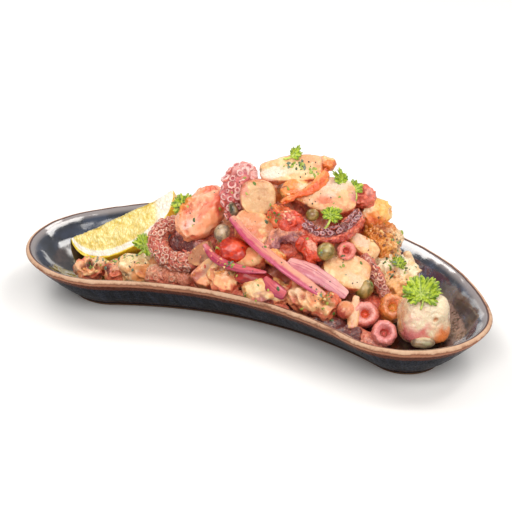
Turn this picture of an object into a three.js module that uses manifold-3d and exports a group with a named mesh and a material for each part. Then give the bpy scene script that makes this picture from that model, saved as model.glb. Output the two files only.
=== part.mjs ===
// Cooked octopus salad with lemon, onion, tomato, capers and parsley, served in a
// kidney-shaped stoneware dish.
// Millimetres, +Z up. The dish stands on z = 0 with its long side along X and its convex
// side towards +Y. The food is laid out as the diner sees it, x to the right, y away and
// z up, in a group that is turned by SERVE_ANGLE about Z.
import * as THREE from 'three';
import Module from 'manifold-3d';
import { mergeVertices } from 'three/addons/utils/BufferGeometryUtils.js';

const wasm = await Module();
wasm.setup();

const rad = THREE.MathUtils.degToRad;
const vec = (point) => new THREE.Vector3(...point);

// ---------------------------------------------------------------- driving dimensions
const SERVE_ANGLE = rad(28.7);
const GAP = 0.3;              // kept between two pieces that touch
const TRIM = 0.14;            // how far a face may move where the slivers of a cut are closed up

// Dish: two end circles joined by a convex back arc and a concave front arc.
const LEFT_R = 52;
const RIGHT_R = 45;
const END_SPAN = 184;
const BACK_R = 158;
const FRONT_R = 170;
const DISH_STEPS = 48;        // a multiple of 4
// Wall section as [inset from the rim's outline, height], from the foot's inside edge out,
// up and over the lip and down to the floor.
const FOOT_RECESS = 3.5;
const FLOOR_TOP = 10;
const DISH_WALL = [
  [33.5, FOOT_RECESS], [33, 0], [27, 0], [25.8, 2.2], [20, 6.6], [12, 13.6], [4.8, 20.8],
  [0, 26], [0.6, 27.6], [2.2, 28], [4.4, 26.6], [9.5, 21], [15, 16.6], [20, 13.4], [28, 10.6],
];
const INNER_FROM = 10;        // place in DISH_WALL where the inside starts

// Heap of octopus under the pieces that show: a dome on the dish's floor.
const HEAP = {
  x: 12, y: 3, halfLength: 64, halfWidth: 50, top: 70, slope: 1.55, rings: 6, sides: 16, sink: 2,
};

// Lemon wedge: where its two tips lie, which way its peel looks, the lemon's radius, the
// angle between the two cut faces, and how full its section is at the ends and the nose.
const LEMON = {
  left: [-118, 48, 19], right: [-56, 41, 53], body: [0, -0.3, -0.95], radius: 27, wedge: rad(80),
  ends: 2.3, nose: 1.9, rings: 9, sides: 24,
};

// ---------------------------------------------------------------- solids from geometry
// Joins the vertices that a geometry class repeats along its seams and at its poles.
function mergedGeometry(geometry) {
  if (!geometry.attributes.normal) return geometry;
  geometry.deleteAttribute('normal');
  geometry.deleteAttribute('uv');
  const merged = mergeVertices(geometry);
  const kept = [];
  const index = merged.index.array;
  for (let i = 0; i < index.length; i += 3) {
    const [a, b, c] = [index[i], index[i + 1], index[i + 2]];
    if (a !== b && b !== c && c !== a) kept.push(a, b, c);
  }
  merged.setIndex(kept);
  return merged;
}

function solidOf(geometry) {
  const merged = mergedGeometry(geometry);
  return new wasm.Manifold(new wasm.Mesh({
    numProp: 3,
    vertProperties: new Float32Array(merged.attributes.position.array),
    triVerts: new Uint32Array(merged.index.array),
  }));
}

function geometryOf(solid) {
  const mesh = solid.getMesh();
  const geometry = new THREE.BufferGeometry();
  geometry.setAttribute('position', new THREE.BufferAttribute(mesh.vertProperties, 3));
  geometry.setIndex(new THREE.BufferAttribute(mesh.triVerts, 1));
  return geometry;
}

// Moves each vertex by a rule, after the seams are joined, so that they stay joined.
function moveVertices(seamed, rule) {
  const geometry = mergedGeometry(seamed);
  const position = geometry.attributes.position;
  const point = new THREE.Vector3();
  for (let i = 0; i < position.count; i += 1) {
    point.fromBufferAttribute(position, i);
    const moved = rule(point);
    position.setXYZ(i, moved.x, moved.y, moved.z);
  }
  return geometry;
}

// ---------------------------------------------------------------- dish
// Centre of an arc that touches both end circles, from its distance to each of theirs.
function arcCentre(toLeft, toRight) {
  const x = (toLeft ** 2 - toRight ** 2 + END_SPAN ** 2) / (2 * END_SPAN);
  return new THREE.Vector2(x, -Math.sqrt(toLeft ** 2 - x ** 2));
}

const LEFT_CENTRE = new THREE.Vector2(0, 0);
const RIGHT_CENTRE = new THREE.Vector2(END_SPAN, 0);
const BACK_CENTRE = arcCentre(BACK_R - LEFT_R, BACK_R - RIGHT_R);
const FRONT_CENTRE = arcCentre(FRONT_R + LEFT_R, FRONT_R + RIGHT_R);

const angleTo = (from, to) => Math.atan2(to.y - from.y, to.x - from.x);

// The four tangent arcs, counterclockwise from the right end: centre, radius, the way the
// radius changes with an inset, and the first and last angle.
const DISH_ARCS = [
  { centre: BACK_CENTRE, radius: BACK_R, inset: -1,
    from: angleTo(BACK_CENTRE, RIGHT_CENTRE), to: angleTo(BACK_CENTRE, LEFT_CENTRE) },
  { centre: LEFT_CENTRE, radius: LEFT_R, inset: -1,
    from: angleTo(BACK_CENTRE, LEFT_CENTRE), to: angleTo(LEFT_CENTRE, FRONT_CENTRE) + 2 * Math.PI },
  { centre: FRONT_CENTRE, radius: FRONT_R, inset: 1,
    from: angleTo(FRONT_CENTRE, LEFT_CENTRE), to: angleTo(FRONT_CENTRE, RIGHT_CENTRE) },
  { centre: RIGHT_CENTRE, radius: RIGHT_R, inset: -1,
    from: angleTo(RIGHT_CENTRE, FRONT_CENTRE), to: angleTo(BACK_CENTRE, RIGHT_CENTRE) },
];
const arcLength = (arc) => Math.abs(arc.to - arc.from) * arc.radius;
const DISH_GIRTH = DISH_ARCS.reduce((sum, arc) => sum + arcLength(arc), 0);

// Point of the outline at a share of the rim's girth, moved inwards by inset.
function outlinePoint(share, inset) {
  let left = (share % 1) * DISH_GIRTH;
  let arc = DISH_ARCS[0];
  for (arc of DISH_ARCS) {
    if (left < arcLength(arc)) break;
    left -= arcLength(arc);
  }
  const angle = arc.from + (arc.to - arc.from) * Math.min(left / arcLength(arc), 1);
  const radius = arc.radius + arc.inset * inset;
  return new THREE.Vector2(Math.cos(angle), Math.sin(angle)).multiplyScalar(radius).add(arc.centre);
}

const RIM_POINTS = Array.from({ length: DISH_STEPS }, (_, i) => outlinePoint(i / DISH_STEPS, 0));
const DISH_CENTRE = new THREE.Box2().setFromPoints(RIM_POINTS).getCenter(new THREE.Vector2());

// A lathe turns the wall's section about Y; each point then moves from its circle to the
// kidney outline at the same inset.
function dishGeometry(grow = 0) {
  const section = DISH_WALL.map(([inset, z], k) => {
    const swell = k >= INNER_FROM ? grow : 0;
    return new THREE.Vector2(LEFT_R - inset - swell, z + swell);
  });
  section.unshift(new THREE.Vector2(0, FOOT_RECESS));
  section.push(new THREE.Vector2(0, FLOOR_TOP + grow));
  const geometry = new THREE.LatheGeometry(section, DISH_STEPS);
  return moveVertices(geometry, (p) => {
    const r = Math.hypot(p.x, p.z);
    if (r < TRIM) return new THREE.Vector3(0, 0, p.y);
    const turn = Math.atan2(-p.z, p.x) / (2 * Math.PI);
    const step = Math.round((turn + 1) * DISH_STEPS) % DISH_STEPS;
    const spot = outlinePoint(step / DISH_STEPS, LEFT_R - r).sub(DISH_CENTRE);
    return new THREE.Vector3(spot.x, spot.y, p.y);
  });
}

// ---------------------------------------------------------------- morsels
const signedPower = (value, exponent) => Math.sign(value) * Math.abs(value) ** exponent;

// Unit axes of a piece: its face looks to the diner at turn 0 and lean 0, to the diner's
// right as turn grows and up as lean grows; roll turns it counterclockwise in that face.
function axesOf([turn, lean, roll = 0]) {
  const [a, e, r] = [rad(turn), rad(lean), rad(roll)];
  const face = new THREE.Vector3(Math.sin(a) * Math.cos(e), -Math.cos(a) * Math.cos(e), Math.sin(e));
  const right = new THREE.Vector3(Math.cos(a), Math.sin(a), 0);
  const up = new THREE.Vector3().crossVectors(face, right);
  const along = right.clone().multiplyScalar(Math.cos(r)).addScaledVector(up, Math.sin(r));
  return { along, across: new THREE.Vector3().crossVectors(face, along), face };
}

// Value at a share of an evenly spaced list, in straight steps.
function listValue(list, share) {
  const place = THREE.MathUtils.clamp(share, 0, 1) * (list.length - 1);
  const step = Math.min(Math.floor(place), list.length - 2);
  return THREE.MathUtils.lerp(list[step], list[step + 1], place - step);
}

// Forms of a morsel: how full its outline and its thickness stay towards the ends
// (2 is an ellipse, more is blunter), how square its section is, and its lumps.
const FORMS = {
  chunk: { ends: 2.6, flats: 2.6, section: 2.5, lumps: 0.10, sides: 8, steps: 5 },
  slice: { ends: 2.3, flats: 7, section: 4.5, lumps: 0.05, sides: 9, steps: 5 },
  log: { ends: 5, flats: 5, section: 2.2, lumps: 0.05, sides: 7, steps: 6 },
  arm: { ends: 7, flats: 7, section: 2, lumps: 0.04, sides: 6, steps: 8 },
  band: { ends: 9, flats: 9, section: 3.5, lumps: 0, sides: 6, steps: 8 },
  berry: { ends: 2.1, flats: 2.1, section: 2, lumps: 0.03, sides: 7, steps: 5 },
};

const lumpAt = (y, angle, seed) => (Math.sin(3 * angle + seed) + Math.sin(2 * angle - 5 * y + 2 * seed)
  + Math.sin(4 * y + 3 * seed)) / 3;

// Centre line of a morsel, a straight one from its size or its own curved route.
function centreLine(piece) {
  if (piece.route) return new THREE.CatmullRomCurve3(piece.route.map(vec));
  const { along } = axesOf(piece.face);
  const start = vec(piece.at).addScaledVector(along, -piece.size[0]);
  const end = vec(piece.at).addScaledVector(along, piece.size[0]);
  return new THREE.LineCurve3(start, end);
}

// Section axes and half sizes at y, which runs from 1 at the start to -1 at the end.
function sectionAt(piece, line, y) {
  const share = (1 - y) / 2;
  const tangent = line.getTangent(share);
  const side = new THREE.Vector3().crossVectors(axesOf(piece.face).face, tangent).normalize();
  const out = new THREE.Vector3().crossVectors(tangent, side);
  const taper = piece.taper ? listValue(piece.taper, share) : 1;
  return { centre: line.getPoint(share), tangent, side, out, taper };
}

const POLE = 1e-6;            // a point this near the axis is a pole

// A superellipsoid whose long axis follows the centre line.
function morselGeometry(piece, grow = 0) {
  const form = { ...FORMS[piece.form], ...piece };
  const line = centreLine(piece);
  const [halfWidth, halfDepth] = piece.size.slice(-2);
  const ball = new THREE.SphereGeometry(1, form.sides, form.steps);
  return moveVertices(ball, (p) => {
    const y = THREE.MathUtils.clamp(p.y, -1, 1);
    const { centre, tangent, side, out, taper } = sectionAt(piece, line, y);
    const spot = centre.addScaledVector(tangent, -y * grow);
    const ring = Math.hypot(p.x, p.z);
    if (ring < POLE) return spot;
    const angle = Math.atan2(p.z, p.x);
    const swell = 1 + form.lumps * lumpAt(y, angle, piece.seed ?? 1);
    const width = (halfWidth * taper * swell + grow) * (1 - Math.abs(y) ** form.ends) ** (1 / form.ends);
    const depth = (halfDepth * taper * swell + grow) * (1 - Math.abs(y) ** form.flats) ** (1 / form.flats);
    spot.addScaledVector(side, width * signedPower(Math.cos(angle), 2 / form.section));
    return spot.addScaledVector(out, depth * signedPower(Math.sin(angle), 2 / form.section));
  });
}

// A sucker: a ring with a hollow, turned about its own axis and pointed along face.
function suckerSolid(at, face, { radius, height }, sides, grow = 0) {
  const r = radius + grow;
  const top = height + grow;
  const section = [
    [0, -0.4 * radius - grow], [0.8 * r, -0.4 * radius - grow], [r, 0.9 * top], [0.6 * radius, top],
    [0, 0.2 * height + grow],
  ].map(([x, y]) => new THREE.Vector2(Math.max(x, 0), y));
  const geometry = mergedGeometry(new THREE.LatheGeometry(section, sides));
  const turn = new THREE.Quaternion().setFromUnitVectors(new THREE.Vector3(0, 1, 0), face);
  geometry.applyMatrix4(new THREE.Matrix4().compose(at, turn, new THREE.Vector3(1, 1, 1)));
  return solidOf(geometry);
}

// Suckers of an arm: where the rows start as a share of its half length, how far out of its
// centre they stand, how tall each is against its radius, and the bulge of the hull that
// other pieces keep clear of.
const SUCKER = { from: 0.84, sink: 0.82, height: 0.8, sides: 6, bulge: 0.75 };
const CUP_SIDES = 10;

// An arm with two rows of suckers along the side that its face names.
function armSolid(piece, grow = 0) {
  let solid = solidOf(morselGeometry(piece, grow));
  const line = centreLine(piece);
  const [halfWidth, halfDepth] = piece.size.slice(-2);
  for (let k = 0; k < piece.suckers; k += 1) {
    const y = SUCKER.from * (1 - (2 * k + 1) / piece.suckers);
    const { centre, side, out, taper } = sectionAt(piece, line, y);
    const lean = (k % 2 ? 1 : -1) * piece.rowAngle;
    const face = out.clone().multiplyScalar(Math.cos(lean));
    face.addScaledVector(side, Math.sin(lean)).normalize();
    const reach = SUCKER.sink * taper;
    const spot = centre.addScaledVector(side, halfWidth * reach * Math.sin(lean));
    spot.addScaledVector(out, halfDepth * reach * Math.cos(lean));
    const sucker = { radius: piece.sucker * taper, height: piece.sucker * SUCKER.height };
    solid = solid.add(suckerSolid(spot, face, sucker, SUCKER.sides, grow));
  }
  return solid;
}

// A cut stub of arm that ends in one large sucker with an open hollow.
function cupSolid(piece, grow = 0) {
  const { face } = axesOf(piece.face);
  const base = vec(piece.at).addScaledVector(face, -piece.height);
  return suckerSolid(base, face, { radius: piece.radius, height: 2 * piece.height }, CUP_SIDES, grow);
}

// A parsley leaf: a thin plate with lobes and teeth, ruffled across its face. The notches
// between its lobes reach in to a share of its radius.
const LEAF = { thickness: 1.1, points: 24, notch: 0.45, lobe: 0.7, tooth: 0.1, ruffle: 0.12 };

function leafGeometry(piece, grow = 0) {
  const { lobes, radius, points = LEAF.points } = piece;
  const outline = Array.from({ length: points }, (_, k) => {
    const angle = (2 * Math.PI * k) / points;
    const bow = Math.abs(Math.cos((lobes * angle) / 2)) ** LEAF.lobe;
    const tooth = 1 + LEAF.tooth * Math.cos(3 * lobes * angle);
    const reach = radius * THREE.MathUtils.lerp(LEAF.notch, 1, bow) * tooth + grow;
    return new THREE.Vector2(Math.cos(angle), Math.sin(angle)).multiplyScalar(reach);
  });
  const geometry = new THREE.ExtrudeGeometry(new THREE.Shape(outline), {
    depth: LEAF.thickness + 2 * grow, bevelEnabled: false, steps: 1,
  });
  const { along, across, face } = axesOf(piece.face);
  return moveVertices(geometry, (p) => {
    const r = Math.hypot(p.x, p.y) / radius;
    const ruffle = LEAF.ruffle * radius * r * Math.sin(3 * Math.atan2(p.y, p.x) + piece.seed);
    const droop = -piece.droop * radius * r * r;
    return vec(piece.at).addScaledVector(along, p.x).addScaledVector(across, p.y * piece.narrow)
      .addScaledVector(face, p.z - LEAF.thickness / 2 - grow + ruffle + droop);
  });
}

// The lemon's cut edge runs from tip to tip; its two cut faces open towards the peel.
function lemonSolid(grow = 0) {
  const { radius, wedge } = LEMON;
  const along = vec(LEMON.right).sub(vec(LEMON.left));
  const halfLength = along.length() / 2;
  along.normalize();
  const section = Array.from({ length: LEMON.rings + 1 }, (_, k) => {
    const y = -Math.cos((Math.PI * k) / LEMON.rings);
    const swell = (1 - Math.abs(y) ** LEMON.ends) ** (1 / LEMON.nose);
    const tip = k % LEMON.rings === 0;
    return new THREE.Vector2(tip ? 0 : radius * swell + grow, y * (halfLength + grow));
  });
  const whole = solidOf(new THREE.LatheGeometry(section, LEMON.sides));
  const reach = 2 * radius;
  const corner = grow / Math.sin(wedge / 2);
  const opening = new THREE.Shape([
    new THREE.Vector2(0, -corner),
    new THREE.Vector2(reach * Math.sin(wedge / 2), reach * Math.cos(wedge / 2) - corner),
    new THREE.Vector2(-reach * Math.sin(wedge / 2), reach * Math.cos(wedge / 2) - corner),
  ]);
  const prism = new THREE.ExtrudeGeometry(opening, { depth: 4 * halfLength, bevelEnabled: false });
  prism.translate(0, 0, -2 * halfLength);
  prism.rotateX(-Math.PI / 2);
  const cutEdge = vec(LEMON.body).negate().addScaledVector(along, vec(LEMON.body).dot(along)).normalize();
  const side = new THREE.Vector3().crossVectors(along, cutEdge);
  const middle = vec(LEMON.left).add(vec(LEMON.right)).multiplyScalar(0.5);
  return solidOf(moveVertices(geometryOf(whole.intersect(solidOf(prism))), (p) => middle.clone()
    .addScaledVector(side, p.x).addScaledVector(along, p.y).addScaledVector(cutEdge, p.z)));
}

// ---------------------------------------------------------------- heap
function heapPoint(radius, angle, sink = 0) {
  const height = FLOOR_TOP + (HEAP.top - FLOOR_TOP) * (1 - radius ** HEAP.slope);
  return [
    HEAP.x + HEAP.halfLength * radius * Math.cos(angle),
    HEAP.y + HEAP.halfWidth * radius * Math.sin(angle),
    height - sink,
  ];
}

function heapCore(grow) {
  const { rings, sides, sink } = HEAP;
  const section = [new THREE.Vector2(0, FLOOR_TOP - sink), new THREE.Vector2(1, FLOOR_TOP - sink + grow)];
  for (let k = rings - 1; k >= 0; k -= 1) {
    section.push(new THREE.Vector2(k / rings, heapPoint(k / rings, 0)[2] + grow));
  }
  return solidOf(moveVertices(new THREE.LatheGeometry(section, sides), (p) => {
    const angle = Math.atan2(-p.z, p.x);
    const swell = 1 + 0.04 * Math.sin(5 * angle) + 0.03 * Math.sin(3 * angle + p.y / 9);
    const r = Math.hypot(p.x, p.z) * swell;
    return new THREE.Vector3(HEAP.x + (HEAP.halfLength * r + grow) * Math.cos(angle),
      HEAP.y + (HEAP.halfWidth * r + grow) * Math.sin(angle), p.y);
  }));
}

// Octopus pieces fused on round the back and the sides of the core, in rows up the dome:
// share of the dome's radius, number of pieces and the angles where the row starts and ends.
// Half sizes vary from piece to piece and lie nearly in the dome's surface.
const HEAP_ROWS = [
  { radius: 0.90, count: 6, from: 6, to: 168 },
  { radius: 0.62, count: 5, from: 0, to: 180 },
  { radius: 0.36, count: 3, from: 20, to: 150 },
  { radius: 0.14, count: 1, from: 90, to: 90 },
];
const HEAP_KINDS = ['arm', 'chunk', 'slice', 'chunk', 'log'];
const HEAP_BIT = { size: 14.5, spread: 2.5, across: 0.66, through: 0.55, lean: 38, climb: 12, spin: 70 };

function heapPieces() {
  const pieces = [];
  HEAP_ROWS.forEach((row, level) => {
    for (let k = 0; k < row.count; k += 1) {
      const share = row.count > 1 ? k / (row.count - 1) : 0.5;
      const angle = rad(THREE.MathUtils.lerp(row.from, row.to, share));
      const seed = 3 * level + k;
      const size = HEAP_BIT.size + HEAP_BIT.spread * Math.sin(2.3 * seed);
      const turn = 90 + THREE.MathUtils.radToDeg(angle);
      pieces.push({
        form: HEAP_KINDS[(k + 2 * level) % HEAP_KINDS.length],
        at: heapPoint(row.radius, angle, 1),
        face: [turn, HEAP_BIT.lean + HEAP_BIT.climb * level, HEAP_BIT.spin * seed],
        size: [size, HEAP_BIT.across * size, HEAP_BIT.through * size],
        seed,
      });
    }
  });
  return pieces;
}

// Strips and cut ends that show low down between the front pieces, fused on as well.
const HEAP_FRONT = [
  { form: 'log', route: [[-24, -36, 24], [-6, -48, 23], [10, -55, 21]], face: [0, 40], size: [5, 4.5] },
  { form: 'log', route: [[36, -64, 17], [48, -70, 15], [58, -74, 14]], face: [0, 40], size: [5, 4] },
  { form: 'chunk', at: [56, -48, 20], face: [0, 40, 10], size: [12, 9, 8] },
  { form: 'chunk', at: [-40, 4, 33], face: [-30, 40, 20], size: [18, 15, 15] },
  { form: 'chunk', at: [-62, 2, 19], face: [-20, 50, 0], size: [12, 10, 8] },
  { form: 'chunk', at: [50, 4, 50], face: [40, 40, 0], size: [13, 12, 12] },
  { form: 'chunk', at: [68, -20, 24], face: [30, 40, 0], size: [11, 11, 10] },
];

function heapSolid(grow = 0) {
  let solid = heapCore(grow);
  for (const piece of [...heapPieces(), ...HEAP_FRONT]) {
    solid = solid.add(solidOf(morselGeometry({ sides: 7, steps: 4, ...piece }, grow)));
  }
  return solid;
}

// ---------------------------------------------------------------- colours
const COLOURS = {
  glaze: 0x2e3a4c, cream: 0xf4dcb0, peach: 0xf2b48c, coral: 0xee7f62, orange: 0xee8a3c,
  rust: 0xd9742e, pink: 0xe98080, mauve: 0x9a6070, red: 0xdc5040, tomato: 0xd03018,
  skin: 0xa01010, onion: 0xe87fa0, lilac: 0xe8b4c4, caper: 0xa8a070, leaf: 0x98c020,
  lemon: 0xf0e060,
};

function finish(colour, roughness) {
  return new THREE.MeshStandardMaterial({ color: COLOURS[colour], roughness, metalness: 0 });
}

// ---------------------------------------------------------------- pieces, most whole first
// Each has a name, a colour and either a place (at) with half sizes along, across and
// through its face, or a route with half width and half depth. A later piece is cut back
// where it meets an earlier one.
const PIECES = [
  // onion
  { name: 'onion_long', kind: 'morsel', form: 'band', colour: 'onion', face: [0, 55], size: [3, 1.3],
    route: [[-21, -21, 63], [-12, -33, 57], [0, -44, 50], [14, -52, 42], [29, -58, 33]], steps: 12 },
  { name: 'onion_wide', kind: 'morsel', form: 'band', colour: 'lilac', face: [15, 50], size: [4.6, 1.3],
    route: [[10, -43, 47], [25, -50, 42], [40, -55, 32]] },
  { name: 'onion_arc', kind: 'morsel', form: 'band', colour: 'onion', face: [-10, 50], size: [2.4, 1.3],
    route: [[-36, -24, 48], [-30, -33, 44], [-17, -42, 42], [-2, -47, 42]] },
  { name: 'onion_magenta', kind: 'morsel', form: 'band', colour: 'onion', face: [-30, 20], size: [3.6, 1.2],
    route: [[-3, -44, 38], [2, -50, 34], [9, -55, 28]], steps: 8 },
  // capers
  { name: 'caper_left', kind: 'morsel', form: 'berry', colour: 'caper', at: [-26, -26, 56],
    face: [0, 30, 70], size: [5, 4.3, 4.3] },
  { name: 'caper_mid', kind: 'morsel', form: 'berry', colour: 'caper', at: [30, -42, 52],
    face: [0, 30, 30], size: [5.2, 5, 5] },
  { name: 'caper_top', kind: 'morsel', form: 'berry', colour: 'caper', at: [23, -26, 67],
    face: [0, 30, 10], size: [4.4, 4.1, 4.1] },
  { name: 'caper_right', kind: 'morsel', form: 'berry', colour: 'caper', at: [51, -47, 32],
    face: [0, 30, 60], size: [5.8, 4.6, 4.6] },
  { name: 'caper_upper_left', kind: 'morsel', form: 'berry', colour: 'caper', at: [-20, -15, 65],
    face: [0, 30, 110], size: [4.4, 2.6, 2.6] },
  { name: 'bit_green', kind: 'morsel', form: 'berry', colour: 'caper', at: [78, -76, 16],
    face: [0, 45, 0], size: [5, 3, 3] },
  // upper pieces
  { name: 'slice_summit', kind: 'morsel', form: 'slice', colour: 'cream', at: [12, -3, 83],
    face: [-8, 42, 8], size: [18.5, 8, 5], taper: [0.75, 1.1, 0.9] },
  { name: 'nub_summit', kind: 'morsel', form: 'chunk', colour: 'orange', at: [31, 4, 84],
    face: [0, 30, 5], size: [6.5, 4.5, 4.5] },
  { name: 'disc_top', kind: 'morsel', form: 'slice', colour: 'cream', at: [-7, -12, 71],
    face: [8, 18, 0], size: [9.8, 9.6, 7] },
  { name: 'arm_top_left', kind: 'arm', form: 'arm', colour: 'pink', face: [-20, 15], size: [6, 6],
    route: [[-18, -8, 57], [-22, -6, 67], [-20, -3, 76], [-15, 1, 82], [-8, 4, 78]],
    taper: [1, 0.95, 0.95, 1], suckers: 4, sucker: 2.6, rowAngle: 0.55 },
  { name: 'skin_strip', kind: 'morsel', form: 'log', colour: 'red', face: [10, 30], size: [2.4, 2.2],
    route: [[32, -4, 83], [29, -10, 77], [22, -15, 73], [14, -18, 70], [8, -18, 71]], steps: 9 },
  { name: 'wedge_under', kind: 'morsel', form: 'chunk', colour: 'orange', at: [16, -10, 75],
    face: [0, 20, 8], size: [12, 5.5, 6] },
  { name: 'slice_shoulder', kind: 'morsel', form: 'slice', colour: 'peach', at: [29, -12, 71],
    face: [15, 40, -10], size: [18.5, 10, 5.5], taper: [0.8, 1.1, 0.9] },
  { name: 'stub_right_top', kind: 'morsel', form: 'chunk', colour: 'red', at: [50, -4, 68],
    face: [20, 30, -20], size: [9, 6.5, 7] },
  { name: 'wedge_right', kind: 'morsel', form: 'log', colour: 'orange', face: [20, 30], size: [7, 6.5],
    route: [[51, -6, 57], [60, -1, 57], [69, 4, 55]], taper: [1, 1.05, 0.9, 0.45] },
  { name: 'arm_smile', kind: 'arm', form: 'arm', colour: 'coral', face: [0, 50], size: [5.6, 5.4],
    route: [[14, -24, 66], [20, -30, 61], [30, -33, 57], [40, -29, 58], [49, -19, 62]],
    taper: [0.75, 1, 1, 0.9], suckers: 8, sucker: 2.3, rowAngle: 0.42 },
  { name: 'chunk_red', kind: 'morsel', form: 'log', colour: 'coral', face: [0, 40], size: [6.5, 6],
    route: [[1, -20, 67], [9, -26, 63], [16, -30, 58]], lumps: 0.14 },
  { name: 'chunk_rust', kind: 'morsel', form: 'chunk', colour: 'rust', at: [62, -9, 43],
    face: [20, 30, -30], size: [12, 10.5, 9], lumps: 0.13 },
  { name: 'mantle_glossy', kind: 'morsel', form: 'log', colour: 'coral', face: [-20, 30], size: [11, 9.5],
    route: [[-49, -5, 48], [-41, -4, 54], [-33, 1, 61], [-28, 7, 66]], taper: [0.85, 1.1, 1.05, 0.7],
    ends: 3, flats: 3, sides: 10 },
  // middle pieces
  { name: 'tomato_half', kind: 'morsel', form: 'chunk', colour: 'tomato', at: [-20, -30, 47],
    face: [0, 50, -12], size: [10, 7.5, 6.5] },
  { name: 'slice_centre', kind: 'morsel', form: 'slice', colour: 'cream', at: [-8, -22, 56],
    face: [0, 45, -30], size: [12, 9.5, 6] },
  { name: 'arch_mauve', kind: 'morsel', form: 'log', colour: 'mauve', face: [0, 40], size: [4.4, 5],
    route: [[-1, -34, 48], [4, -31, 55], [12, -31, 57], [19, -34, 52]], steps: 9 },
  { name: 'bit_orange', kind: 'morsel', form: 'chunk', colour: 'orange', at: [3, -38, 46],
    face: [0, 40, -10], size: [5.8, 4, 5] },
  { name: 'slivers_coral', kind: 'morsel', form: 'log', colour: 'red', face: [0, 40], size: [4.5, 4],
    route: [[17, -34, 56], [21, -38, 52], [25, -42, 45]] },
  { name: 'cup_pink', kind: 'cup', colour: 'pink', at: [41, -37, 50], face: [5, 25],
    radius: 5.3, height: 4.5 },
  { name: 'slice_broad', kind: 'morsel', form: 'slice', colour: 'cream', at: [43, -40, 39],
    face: [10, 45, -25], size: [15, 11, 5.5] },
  { name: 'slice_white', kind: 'morsel', form: 'slice', colour: 'cream', at: [54, -24, 43],
    face: [25, 40, -48], size: [13, 6.5, 5.5] },
  { name: 'arm_right_strip', kind: 'arm', form: 'arm', colour: 'mauve', face: [-5, 35], size: [4, 4],
    route: [[49, -31, 45], [55, -34, 38], [61, -39, 30], [65, -44, 22]], taper: [0.8, 1, 1, 0.85],
    suckers: 7, sucker: 1.9, rowAngle: 0.5 },
  { name: 'arm_left_curl', kind: 'arm', form: 'arm', colour: 'pink', face: [-30, 10], size: [5.4, 5.4],
    route: [[-50, 16, 44], [-59, 10, 43], [-63, 1, 39], [-59, -7, 34], [-50, -12, 32], [-40, -16, 33]],
    taper: [0.7, 0.95, 1, 1, 0.9], suckers: 9, sucker: 2.4, rowAngle: 0.6 },
  { name: 'slice_left_edge', kind: 'morsel', form: 'slice', colour: 'cream', at: [-37, -18, 39],
    face: [-25, 20, 50], size: [8.5, 6.5, 3.4] },
  { name: 'slice_left_low', kind: 'morsel', form: 'slice', colour: 'cream', at: [-33, -26, 32],
    face: [0, 45, 42], size: [10.5, 6.5, 4] },
  // lower pieces at the front
  { name: 'tomato_skin', kind: 'morsel', form: 'chunk', colour: 'skin', at: [-10, -41, 35],
    face: [0, 40, -6], size: [9.5, 4.2, 5] },
  { name: 'chunk_front_left', kind: 'morsel', form: 'chunk', colour: 'peach', at: [-24, -33, 31],
    face: [0, 40, -25], size: [9.5, 8, 7.5] },
  { name: 'chunk_front_mid', kind: 'morsel', form: 'chunk', colour: 'cream', at: [-2, -46, 31],
    face: [0, 40, -8], size: [14, 8, 8] },
  { name: 'log_front', kind: 'morsel', form: 'log', colour: 'peach', face: [0, 40], size: [9, 8],
    route: [[10, -47, 32], [23, -53, 29], [38, -62, 24]], taper: [0.85, 1, 0.9] },
  { name: 'ball_peach', kind: 'morsel', form: 'berry', colour: 'peach', at: [40, -60, 26],
    face: [0, 40, 30], size: [5, 4.8, 4.8] },
  { name: 'strip_peach', kind: 'morsel', form: 'band', colour: 'peach', face: [0, 30], size: [3, 2],
    route: [[48, -52, 33], [45, -59, 26], [42, -68, 18]], steps: 8 },
  // right end
  { name: 'cup_left', kind: 'cup', colour: 'pink', at: [51, -58, 22], face: [-5, 38],
    radius: 7, height: 6 },
  { name: 'cup_front', kind: 'cup', colour: 'pink', at: [60, -72, 18], face: [0, 38],
    radius: 7, height: 5.5 },
  { name: 'cup_orange', kind: 'cup', colour: 'orange', at: [66, -48, 21], face: [8, 42],
    radius: 7.4, height: 6 },
  { name: 'chunk_big', kind: 'morsel', form: 'chunk', colour: 'cream', at: [82, -62, 22],
    face: [8, 20, 0], size: [13.2, 13, 12.5], ends: 3, flats: 3, section: 3, lumps: 0.06,
    sides: 10, steps: 7 },
  { name: 'chunk_herbed', kind: 'morsel', form: 'chunk', colour: 'cream', at: [71, -20, 28],
    face: [10, 45, -25], size: [15, 12, 10], sides: 10 },
  { name: 'finger_cream', kind: 'morsel', form: 'log', colour: 'cream', face: [10, 30], size: [3, 3],
    route: [[79, -9, 16], [77, -8, 24], [76, -6, 32]], steps: 6 },
  // left end
  { name: 'arm_front_left', kind: 'arm', form: 'arm', colour: 'coral', face: [-5, 35], size: [6.3, 6],
    route: [[-69, -2, 19], [-56, -7, 21], [-43, -13, 22]], taper: [0.9, 1, 1], suckers: 3, sucker: 2.6,
    rowAngle: 0.3 },
  { name: 'chunk_left_cream', kind: 'morsel', form: 'chunk', colour: 'cream', at: [-76, 4, 20],
    face: [-5, 50, 8], size: [11, 9, 8] },
  { name: 'bit_left_mid', kind: 'morsel', form: 'chunk', colour: 'coral', at: [-89, 5, 17],
    face: [0, 40, -20], size: [6.5, 6.5, 6.5] },
  { name: 'bit_left_end', kind: 'morsel', form: 'chunk', colour: 'mauve', at: [-103, 9, 17],
    face: [0, 45, 8], size: [9.5, 6.5, 6.5], lumps: 0.14 },
  // parsley
  { name: 'parsley_top', kind: 'leaf', colour: 'leaf', at: [16, -3, 93], face: [20, 15, 60],
    radius: 5.5, lobes: 3, narrow: 0.75, droop: 0.2, seed: 1 },
  { name: 'parsley_right_top', kind: 'leaf', colour: 'leaf', at: [42, -11, 80], face: [10, 35, 140],
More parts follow.
